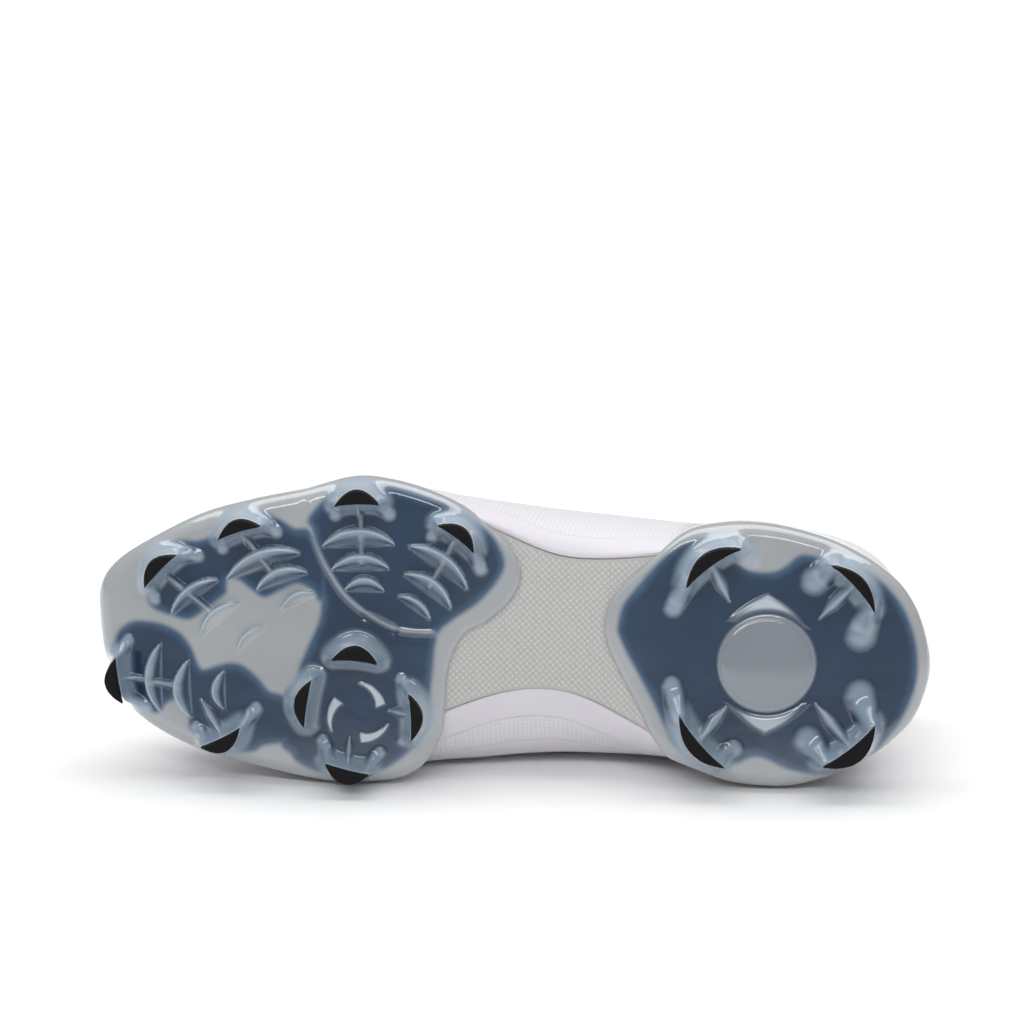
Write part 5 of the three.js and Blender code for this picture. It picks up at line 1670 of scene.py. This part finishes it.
@dataclass(frozen=True)
class Upper:
    """The hollow upper with its panels, seams, creases and lining, in millimetres."""

    form: UpperForm
    loop: int = 440
    rise: int = 150
    inner: int = 56
    tree_grid: tuple[int, int] = (240, 40)
    cloth_share: float = 0.35
    lip_share: float = 0.35
    panel_rise: float = 0.35
    seam_half: float = 0.5
    # Height of each panel's edge, and how much it grows or shrinks along the shoe
    medial_band: tuple[float, float] = (9.5, 3.0)
    lateral_band: tuple[float, float] = (8.0, 2.5)
    toe_cap: tuple[float, float] = (24.0, 16.0)
    counter: tuple[float, float] = (46.0, -12.0)
    # Lower and upper edge of the second band on the medial side
    welt: tuple[float, float] = (20.0, 32.5)
    pad: float = 1.6
    # Place along the shoe, depth and half width of each crease over the ball
    creases: tuple = ((196.0, 0.9, 2.2), (204.0, 0.7, 1.9), (189.0, 0.5, 1.6))

    def tree(self) -> BVHTree:
        """Ray-cast tree of the plain outer face, in the shoe frame."""
        loop, rise = self.tree_grid
        t, u = np.arange(loop) * self.form.count / loop, np.linspace(0, 0.6, rise)
        tt, uu = np.meshgrid(t, u, indexing="ij")
        points = self.form.face(tt, uu).reshape(-1, 3)
        quads = grid_quads(loop, rise, close_rows=True)
        return BVHTree.FromPolygons([tuple(p) for p in points.tolist()], quads.tolist())

    def panels(self, t: Array, u: Array, p: Array, run: Array) -> dict[str, Array]:
        """Panel masks over the outer face.

        Args:
            t: Rows round the loop.
            u: Share from foot to edge; not used.
            p: Points of the face.
            run: Length from the foot along the section, in millimetres.

        Returns:
            "texture", "band" and "seam" from 0 to 1, and "rise" in millimetres.
        """
        back = self.form.from_back(t)
        medial = np.mod(t, self.form.count) < self.form.THROAT_FRONT
        waist = smooth(2.6, 3.6, back) * smooth(6.6, 5.4, back)

        def below(edge: Number) -> Array:
            """Share of a panel below its edge."""
            return smooth(edge + self.seam_half, edge - self.seam_half, run)

        band = below(np.where(
            medial, self.medial_band[0] + self.medial_band[1] * (np.abs(back - 4.3) / 1.2) ** 2,
            self.lateral_band[0] + self.lateral_band[1] * smooth(4.2, 5.4, back)))
        welt = medial * (1 - below(self.welt[0])) * below(self.welt[1]) * waist
        toe_cap = smooth(6.6, 7.2, back) * below(self.toe_cap[0] + self.toe_cap[1] * smooth(7.2, 9, back))
        counter = smooth(3.1, 2.7, back) * below(self.counter[0] + self.counter[1] * smooth(0.5, 2.6, back))
        smooth_part = np.clip(np.maximum.reduce([band, welt, toe_cap, counter]), 0, 1)
        edge = 4 * smooth_part * (1 - smooth_part)
        crease = np.zeros_like(run)
        for k, (x, depth, half) in enumerate(self.creases):
            bow = x - 0.004 * (p[..., 1] ** 2) + 1.5 * np.sin(p[..., 1] * 0.11 + k * 2)
            dip = np.exp(-(((p[..., 0] - bow) / half) ** 2))
            crease += dip * smooth(30, 48, p[..., 2]) * depth
        return {"texture": 1 - smooth_part, "band": np.maximum(band, welt),
                "seam": np.clip(edge, 0, 1), "rise": self.panel_rise * smooth_part - crease}

    def build(self, maker: Maker, skin: bpy.types.Material, lining: bpy.types.Material) -> bpy.types.Object:
        """Makes the upper as one closed shell.

        Args:
            maker: Mesh maker.
            skin: Material of the outer face.
            lining: Material of the inner face.

        Returns:
            The object.
        """
        form = self.form
        t = np.arange(self.loop) * form.count / self.loop
        tt, uu = np.meshgrid(t, np.linspace(0, 1, self.rise), indexing="ij")
        face, normal = form.face(tt, uu), form.normal(tt, uu)
        run = np.concatenate([np.zeros((len(t), 1)), np.cumsum(
            np.linalg.norm(np.diff(face, axis=1), axis=2), axis=1)], axis=1)
        around = form.face(t, np.full_like(t, self.cloth_share))
        lap = path_length(around)
        masks = self.panels(tt, uu, face, run)
        fade = smooth(0.0, 0.02, uu) * smooth(1.0, 0.97, uu)
        outer = face + normal * (masks["rise"] * fade)[..., None]
        ti, ui = np.meshgrid(t, np.linspace(1, 0, self.inner), indexing="ij")
        pad = self.pad * smooth(0.72, 0.9, ui) * smooth(1.02, 0.94, ui) * (
            1 - smooth(3.0, 4.0, form.from_back(ti)))
        inner = form.at(ti, ui, form.wall(ti, ui) + pad)
        lip = (outer[:, -1:] + inner[:, :1]) / 2
        rise = unit(outer[:, -1] - outer[:, -3])[:, None]
        lip = lip + rise * (form.wall(t, np.ones_like(t)) * self.lip_share)[:, None, None]
        strip = np.concatenate([outer, lip, inner], axis=1)
        columns = strip.shape[1]
        points = strip.reshape(-1, 3)
        quads = grid_quads(self.loop, columns, close_rows=True, close_columns=True)
        column = quads[:, 0] % columns
        slots = ((column >= self.rise) & (column < columns - 1)).astype(int)
        bare = np.zeros((len(t), columns - self.rise))
        shown = {"cloth_v": run, **{key: masks[key] for key in ("texture", "band", "seam")}}
        fill = {key: np.concatenate([part, bare], axis=1) for key, part in shown.items()}
        fill["cloth_u"] = np.repeat(lap[:, None], columns, axis=1)
        made = maker.mesh("upper_skin", points, quads, [skin, lining], slots=slots,
                          values={k: a.ravel() for k, a in fill.items()})
        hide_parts("upper")
        return made


@dataclass(frozen=True)
class Eyestay:
    """Smooth band round the throat, with eyelet rings, in millimetres."""

    sizes: Sizes
    form: UpperForm
    pairs: int = 6
    upper_share: float = 0.985
    eyelet_share: float = 0.905
    grid: tuple[int, int] = (260, 26)
    seams: tuple[float, float] = (0.14, 0.88)
    seam_depth: float = 0.25
    # Radius and height of the eyelet's section, from the well outwards
    section: tuple = ((1.2, -0.9), (1.75, -0.2), (2.0, 0.3), (2.5, 0.5), (3.0, 0.32), (3.2, -0.15))
    facets: int = 28

    def rows(self) -> list[float]:
        """Eyelet places as rows, evenly spaced along the throat edge."""
        t = np.linspace(self.form.THROAT_TOP + 0.35, self.form.THROAT_FRONT - 1.5, 121)
        line = self.form.face(t, np.full_like(t, 0.92))
        run = path_length(line)
        return [float(np.interp(run[-1] * k / (self.pairs - 1), run, t)) for k in range(self.pairs)]

    def build(self, maker: Maker, overlay: bpy.types.Material, metal: bpy.types.Material,
              well_shade: bpy.types.Material) -> list[bpy.types.Object]:
        """Makes the band and its eyelets.

        Args:
            maker: Mesh maker.
            overlay: Material of the band.
            metal: Material of the eyelet rings.
            well_shade: Black material painted into their wells as shade.

        Returns:
            The objects.
        """
        first = self.form.THROAT_TOP + 0.2
        t = np.linspace(first, self.form.count - first, self.grid[0])
        u = np.linspace(self.sizes.eyestay_share, self.upper_share, self.grid[1])
        tt, uu = np.meshgrid(t, u, indexing="ij")
        share = (uu - u[0]) / (u[-1] - u[0])
        puff = self.sizes.eyestay * np.clip(np.minimum(share, 1 - share) / 0.09, 0, 1) ** 0.5
        groove = self.seam_depth * sum(np.exp(-(((share - seam) / 0.03) ** 2)) for seam in self.seams)
        over = self.form.at(tt, uu, -(0.1 + np.maximum(puff - groove, 0)))
        under = self.form.at(tt[:, ::-1], uu[:, ::-1], -0.05)
        points, faces = ring_solid(list(np.concatenate([over, under[:, 1:-1]], axis=1)))
        band = maker.mesh("eyestay_band", points, faces, [overlay])
        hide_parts("eyestay")
        made = [band]
        for k, row in enumerate(self.rows()):
            for side, t_eyelet in (("medial", row), ("lateral", self.form.count - row)):
                made.append(self.eyelet(maker, f"eyelet_{side}_{k + 1}", t_eyelet, metal, well_shade))
        return made

    def eyelet(self, maker: Maker, name: str, t: float, metal: bpy.types.Material,
               well_shade: bpy.types.Material) -> bpy.types.Object:
        """Makes one eyelet: a rounded ring whose well is painted black as shade.

        Args:
            maker: Mesh maker.
            name: Piece name.
            t: Its row.
            metal: Material of the ring.
            well_shade: Black material painted into the well as shade.

        Returns:
            The object.
        """
        row, u = np.array([t]), np.array([self.eyelet_share])
        middle = self.form.at(row, u, -(self.sizes.eyestay + 0.1))[0]
        normal = self.form.normal(row, u)[0]
        side = unit(np.cross(normal, np.array([0, 0, 1.0])))
        up = np.cross(side, normal)
        angles = np.linspace(0, 2 * math.pi, self.facets + 1)[:-1]
        circle = np.cos(angles)[:, None] * side + np.sin(angles)[:, None] * up
        points, faces = ring_solid([middle + circle * radius + normal * height
                                    for radius, height in self.section])
        # The inner wall and the floor of the well take the black material as painted shade
        well_centre = len(points) - 2
        slots = [int(k < self.facets or well_centre in face) for k, face in enumerate(faces)]
        made = maker.mesh(name, points, faces, [metal, well_shade], slots=np.array(slots))
        return made


@dataclass(frozen=True)
class Stitches:
    """Rows of short stitches that lie on the upper, in millimetres."""

    form: UpperForm
    pitch: float = 3.1
    length: float = 2.3
    radius: float = 0.26
    sides: int = 6
    # Place along the stitch, girth and height, both as shares of the radius
    section: tuple = ((-0.5, 0.35, -0.25), (-0.38, 0.9, 0.3), (0.0, 1.0, 0.3), (0.38, 0.9, 0.3),
                      (0.5, 0.35, -0.25))

    def stitch(self, middle: Array, along: Array, normal: Array) -> list[Array]:
        """Rings of one stitch, thin at its two ends where the thread dives into the skin.

        Args:
            middle: Its middle.
            along: Its direction.
            normal: Normal of the skin.

        Returns:
            The rings.
        """
        across = np.cross(along, normal)
        angles = np.arange(self.sides) * 2 * math.pi / self.sides
        circle = np.cos(angles)[:, None] * across + np.sin(angles)[:, None] * normal
        return [middle + along * place * self.length + normal * lift * self.radius
                + circle * self.radius * girth for place, girth, lift in self.section]

    def build(self, maker: Maker, name: str, first: float, last: float, u: float, lift: float,
              thread: bpy.types.Material) -> bpy.types.Object:
        """One row of stitches as one piece.

        Args:
            maker: Mesh maker.
            name: Piece name.
            first: Row of the loop where the line starts.
            last: Row where it ends.
            u: Share from foot to edge.
            lift: Height over the face, in millimetres.
            thread: Its material.

        Returns:
            The object.
        """
        t = np.linspace(first, last, 1200)
        line = self.form.at(t, np.full_like(t, u), -lift)
        run = path_length(line)
        rows = np.interp(np.arange(self.pitch, run[-1] - self.pitch, self.pitch), run, t)
        level = np.full_like(rows, u)
        middles, normals = self.form.at(rows, level, -lift), self.form.normal(rows, level)
        ahead = unit(self.form.at(rows + 0.01, level, -lift) - middles)
        points, faces, total = [], [], 0
        for middle, along, normal in zip(middles, ahead, normals):
            spots, quads = ring_solid(self.stitch(middle, along, normal))
            points.append(spots)
            faces += [[k + total for k in face] for face in quads]
            total += len(spots)
        made = maker.mesh(name, np.vstack(points), faces, [thread])
        return made


@dataclass
class Tongue:
    """Padded tongue below the throat."""

    sizes: Sizes
    # Middle line: x, z, half width and section radius as shares of named sizes
    rows: tuple = (
        (0.7127, 0.7010, 0.1961, 0.3333), (0.6327, 0.7680, 0.2451, 0.3137),
        (0.5455, 0.8711, 0.2843, 0.2941), (0.4509, 0.9742, 0.3235, 0.3039),
        (0.3564, 1.0825, 0.3235, 0.3529), (0.2982, 1.2062, 0.2941, 0.3922),
    )
    thickness: float = 4.0
    grid: tuple[int, int] = (150, 60)
    ribs: float = 3.5
    rib_share: float = 0.22
    least_edge: float = 0.12
    fill: float = 0.6

    def __post_init__(self) -> None:
        """Turns the shares to millimetres."""
        sizes = self.sizes
        self.table = np.array(self.rows) * [
            sizes.sole_length, sizes.instep_height, sizes.ball_width, sizes.ball_width]

    def at(self, s: Array, across: Array, depth: Array) -> Array:
        """Points of the tongue.

        Args:
            s: Row of the middle line.
            across: Place across, from -1 to 1.
            depth: Depth below the face, in millimetres.

        Returns:
            The points.
        """
        row = curve_at(self.table, s, False)
        ahead = curve_at(self.table, s + 0.1, False) - curve_at(self.table, s - 0.1, False)
        run = unit(np.stack([ahead[..., 0], np.zeros_like(s), ahead[..., 1]], axis=-1))
        up = np.stack([-run[..., 2], np.zeros_like(s), run[..., 0]], axis=-1)
        up = np.where(run[..., :1] < 0, -up, up)
        y = across * row[..., 2]
        drop = y * y / (2 * row[..., 3]) + depth
        middle = np.stack([row[..., 0], y, row[..., 1]], axis=-1)
        return middle - up * drop[..., None]

    def top(self, x: float) -> float:
        """Height of the tongue's face on the middle line.

        Args:
            x: Place along the shoe.

        Returns:
            The height.
        """
        s = np.linspace(0, len(self.table) - 1, 200)
        line = self.at(s, np.zeros_like(s), np.zeros_like(s))
        order = line[:, 0].argsort()
        return float(np.interp(x, line[order, 0], line[order, 2]))

    def build(self, maker: Maker, cloth: bpy.types.Material) -> bpy.types.Object:
        """Makes the tongue as one padded closed sheet.

        Args:
            maker: Mesh maker.
            cloth: Its material.

        Returns:
            The object.
        """
        last = len(self.table) - 1
        s = np.linspace(0.02, last, self.grid[0])
        f = np.linspace(-1, 1, self.grid[1])
        ss, ff = np.meshgrid(s, f, indexing="ij")
        half = self.thickness / 2
        tip = np.clip((last - ss) / 0.35, 0, 1) ** 0.5 * np.clip(ss / 0.2, 0, 1) ** 0.5
        full = np.clip(1 - np.abs(ff) ** 5, 0, 1) ** 0.5 * np.maximum(tip, self.least_edge)
        wave = np.cos(2 * math.pi * ff * self.ribs)
        rib = self.rib_share * wave * smooth(0.98, 0.8, np.abs(ff)) * smooth(1.2, 2, ss)
        narrow = lerp(0.9, 1.0, np.clip((last - ss) / 0.5, 0, 1))
        over = self.at(ss, ff * narrow, half - half * full * (0.9 + rib))
        under = self.at(ss, ff * narrow, half + half * full * 0.95)
        strip = np.concatenate([over, under[:, ::-1][:, 1:-1]], axis=1)
        points, faces = ring_solid(list(strip))
        made = maker.mesh("tongue_pad", points, faces, [cloth])
        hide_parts("tongue")
        return made


@dataclass(frozen=True)
class Laces:
    """Flat laces that cross over the tongue and dive into the eyelets, in millimetres."""

    sizes: Sizes
    form: UpperForm
    tongue: Tongue
    rows: list[float]
    width: float = 6.0
    thickness: float = 1.3
    over_tongue: float = 1.2
    over_eyestay: float = 1.0
    top_lift: float = 0.3
    cross_lift: float = 0.9
    path_steps: int = 73
    round_steps: int = 20

    def spot(self, t: float, u: float, depth: float) -> Array:
        """Point of the upper's face at a depth."""
        return self.form.at(np.array([t]), np.array([u]), depth)[0]

    def path(self, medial: float, lateral: float, lift: float) -> tuple[Array, Array]:
        """Course of one pass, from inside a medial eyelet to inside a lateral one.

        Args:
            medial: Row of the medial eyelet.
            lateral: Row of the lateral eyelet.
            lift: Height over the passes below.

        Returns:
            Points of the course and the up directions there.
        """
        clear = self.sizes.gap + self.sizes.eyestay + self.over_eyestay + self.thickness / 2 + lift
        ends = (medial, self.form.count - lateral)
        # Share from foot to edge and depth, from the well of an eyelet to the throat
        climb = ((0.9, -0.2), (0.906, -2.6), (0.94, -clear), (0.99, -clear))
        first, second = ([self.spot(t, u, depth) for u, depth in climb] for t in ends)
        middle = (first[-1] + second[-1]) / 2
        least = self.tongue.top(middle[0]) + self.thickness / 2 + self.over_tongue + lift
        middle[2] = max(middle[2], least)
        up = [self.form.normal(np.array([t]), np.array([0.95]))[0] for t in ends]
        rows = [up[0]] * 4 + [[0.35, 0, 1]] + [up[1]] * 4
        return np.array([*first, middle, *second[::-1]]), np.array(rows)

    def pass_at(self, medial: float, lateral: float, lift: float) -> tuple[Array, Array, Array]:
        """One pass of the lace.

        Args:
            medial: Row of the medial eyelet.
            lateral: Row of the lateral eyelet.
            lift: Height over the passes below.

        Returns:
            Its rings, the length at each ring, and the place across at each point of a ring.
        """
        path, up_rows = self.path(medial, lateral, lift)
        s = np.linspace(0, len(path) - 1, self.path_steps)
        spots = curve_at(path, s, False)
        run = unit(curve_at(path, s + 0.1, False) - curve_at(path, s - 0.1, False))
        side = unit(np.cross(run, curve_at(up_rows, s, False)))
        up = np.cross(side, run)
        width = self.width * lerp(0.42, 1.0, smooth(0.4, 2.2, np.minimum(s, len(path) - 1 - s)))
        angles = np.linspace(0, 2 * math.pi, self.round_steps + 1)[:-1]
        a = np.sign(np.cos(angles)) * np.abs(np.cos(angles)) ** 0.5 / 2
        b = np.sign(np.sin(angles)) * np.abs(np.sin(angles)) ** 0.7 / 2
        rings = (spots[:, None] + side[:, None] * (a[None] * width[:, None])[..., None]
                 + up[:, None] * (b * self.thickness)[None, :, None])
        return rings, path_length(spots), a * self.width

    def build(self, maker: Maker, material: bpy.types.Material) -> bpy.types.Object:
        """Makes all the passes as one piece.

        Args:
            maker: Mesh maker.
            material: Its material.

        Returns:
            The object.
        """
        points, faces, us, vs = [], [], [], []
        total = 0
        passes = [(self.rows[-1], self.rows[-1], self.top_lift)]
        for here, there in zip(self.rows, self.rows[1:]):
            passes += [(here, there, 0.0), (there, here, self.cross_lift)]
        for medial, lateral, lift in passes:
            rings, length, across = self.pass_at(medial, lateral, lift)
            p, f = ring_solid(list(rings))
            faces += [[i + total for i in face] for face in f]
            points.append(p)
            total += len(p)
            us += [np.repeat(length, len(across)), np.array([0.0, length[-1]])]
            vs += [np.tile(across, len(length)), np.zeros(2)]
        made = maker.mesh("lace_webbing_passes", np.vstack(points), faces, [material],
                          values={"cloth_u": np.concatenate(us), "cloth_v": np.concatenate(vs)})
        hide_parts("laces")
        return made


# ---- Studio

@dataclass(frozen=True)
class CameraPlace:
    """Where the photograph was taken from, in the row frame."""

    location: tuple[float, float, float] = (0.0044, -1.0939, 0.3689)
    look: tuple[float, float, float] = (-0.0047, 0.9673, -0.2537)
    up: tuple[float, float, float] = (-0.0119, 0.2536, 0.9672)
    lens: float = 117.5
    sensor: float = 36.0


@dataclass(frozen=True)
class SoftBox:
    """A rectangular light, in metres and watts."""

    name: str
    place: tuple[float, float, float]
    aim: tuple[float, float, float]
    size: tuple[float, float]
    power: float


@dataclass(frozen=True)
class Studio:
    """Floor, lights, background and camera."""

    floor_half: float = 6.0
    floor_back: float = 0.25
    above: float = 0.32
    below: float = 1.06
    horizon: tuple[float, float] = (-0.08, 0.02)
    boxes: tuple[SoftBox, ...] = (
        SoftBox("overhead_box", (0.0, 0.16, 0.85), (0.0, 0.1, 0.0), (1.7, 0.6), 8.6),
        SoftBox("front_strip", (-0.1, -0.7, 0.6), (0.0, 0.0, 0.05), (0.9, 0.12), 2.6),
    )

    def camera(self, place: CameraPlace) -> None:
        """Creates the camera at the photograph's angle.

        Args:
            place: Where it stands and what it looks at.
        """
        data = bpy.data.cameras.new("camera")
        data.lens = place.lens
        data.sensor_width = place.sensor
        made = bpy.data.objects.new("camera", data)
        look, up = Vector(place.look).normalized(), Vector(place.up)
        right = look.cross(up).normalized()
        up = right.cross(look)
        made.matrix_world = Matrix((
            (right.x, up.x, -look.x, place.location[0]),
            (right.y, up.y, -look.y, place.location[1]),
            (right.z, up.z, -look.z, place.location[2]),
            (0, 0, 0, 1)))
        bpy.context.scene.collection.objects.link(made)
        bpy.context.scene.camera = made

    def floor(self, material: bpy.types.Material) -> None:
        """Lays the floor, cut off behind the shoe so that the background takes over.

        Args:
            material: Its material.
        """
        data = bpy.data.meshes.new("floor")
        wide, far = self.floor_half, self.floor_back
        data.from_pydata([(-wide, -wide, 0), (wide, -wide, 0), (wide, far, 0), (-wide, far, 0)], [],
                         [(0, 1, 2, 3)])
        data.materials.append(material)
        made = bpy.data.objects.new("floor", data)
        bpy.context.scene.collection.objects.link(made)

    def light(self, box: SoftBox) -> None:
        """Hangs one soft box.

        Args:
            box: Its place, size and power.
        """
        data = bpy.data.lights.new(box.name, "AREA")
        data.shape = "RECTANGLE"
        data.size, data.size_y = box.size
        data.energy = box.power
        made = bpy.data.objects.new(box.name, data)
        made.location = box.place
        direction = Vector(box.aim) - Vector(box.place)
        made.rotation_euler = direction.to_track_quat("-Z", "Y").to_euler()
        bpy.context.scene.collection.objects.link(made)

    def world(self) -> None:
        """Makes the studio dim above the floor, and white where the camera sees past its far edge."""
        world = bpy.data.worlds.new("studio")
        world.use_nodes = True
        tree = world.node_tree
        back = tree.nodes["Background"]
        place = tree.nodes.new("ShaderNodeTexCoord")
        split = tree.nodes.new("ShaderNodeSeparateXYZ")
        level = tree.nodes.new("ShaderNodeMapRange")
        level.interpolation_type = "SMOOTHSTEP"
        for key, value in (("From Min", self.horizon[0]), ("From Max", self.horizon[1]),
                           ("To Min", self.below), ("To Max", self.above)):
            level.inputs[key].default_value = value
        tree.links.new(place.outputs["Generated"], split.inputs[0])
        tree.links.new(split.outputs["Z"], level.inputs["Value"])
        tree.links.new(level.outputs[0], back.inputs["Strength"])
        back.inputs["Color"].default_value = (1, 1, 1, 1)
        bpy.context.scene.world = world
        bpy.context.scene.view_settings.view_transform = "Standard"

    def build(self, floor: bpy.types.Material) -> None:
        """Sets up the whole studio.

        Args:
            floor: Material of the floor.
        """
        self.camera(CameraPlace())
        self.floor(floor)
        self.world()
        for box in self.boxes:
            self.light(box)


def main() -> None:
    """Builds the dressed shoe round the frame."""
    logging.basicConfig(level=logging.INFO)
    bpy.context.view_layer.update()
    sizes = Sizes()
    sole = SoleForm(sizes)
    form = UpperForm(sizes, sole)
    maker = Maker(ShoeFrame())
    polyurethane, rubber, overlay = Polyurethane().build(), Rubber().build(), Overlay().build()
    lining, thread = Lining().build(), THREAD.build()

    upper = Upper(form)
    pieces = [upper.build(maker, Synthetic().build(), lining)]
    tree = upper.tree()
    reliefs = {}
    for name, plate_sizes in (
            ("forefoot_plate", PlateSizes(Plate.FORE, sizes.ball_width, 9.0, FORE_OUTLINE)),
            ("heel_plate", PlateSizes(Plate.HEEL, sizes.heel_width, 12.0, HEEL_OUTLINE, leg_radius=3.4,
                                      leg_heights=(8.0, 0.8), fin_heights=(4.8, 1.2), foot_flare=1.12,
                                      hollow=1.2))):
        plate = OutsolePlate(sizes, sole, plate_sizes, tree)
        reliefs[plate_sizes.plate] = plate.relief
        pieces.append(plate.build(maker, name, polyurethane))
    pieces += StudTips(sizes, sole, reliefs).build(maker, rubber)
    pieces.append(Midsole(sizes, sole, form).build(maker, Foam().build()))
    eyestay = Eyestay(sizes, form)
    pieces += eyestay.build(maker, overlay, EYELET_RING.build(), rubber)
    stitches = Stitches(form)
    top, seam = form.THROAT_TOP, lerp(sizes.eyestay_share, eyestay.upper_share, eyestay.seams[0])
    pieces.append(stitches.build(maker, "collar_stitches", -top + 0.3, top - 0.3, 0.95, 0.05, thread))
    pieces.append(stitches.build(maker, "eyestay_stitches", top + 0.4, form.count - top - 0.4, seam,
                                 sizes.eyestay - 0.1, thread))
    tongue = Tongue(sizes)
    pieces.append(tongue.build(maker, lining))
    pieces.append(Laces(sizes, form, tongue, eyestay.rows()).build(maker, Webbing().build()))
    for piece in pieces:
        LOG.info("%s: %d points, %d faces", piece.name, len(piece.data.vertices), len(piece.data.polygons))

    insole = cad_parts["insole"]
    insole.data.materials.clear()
    insole.data.materials.append(lining)

    Studio().build(SWEEP.build())


if __name__ == "__main__":
    main()
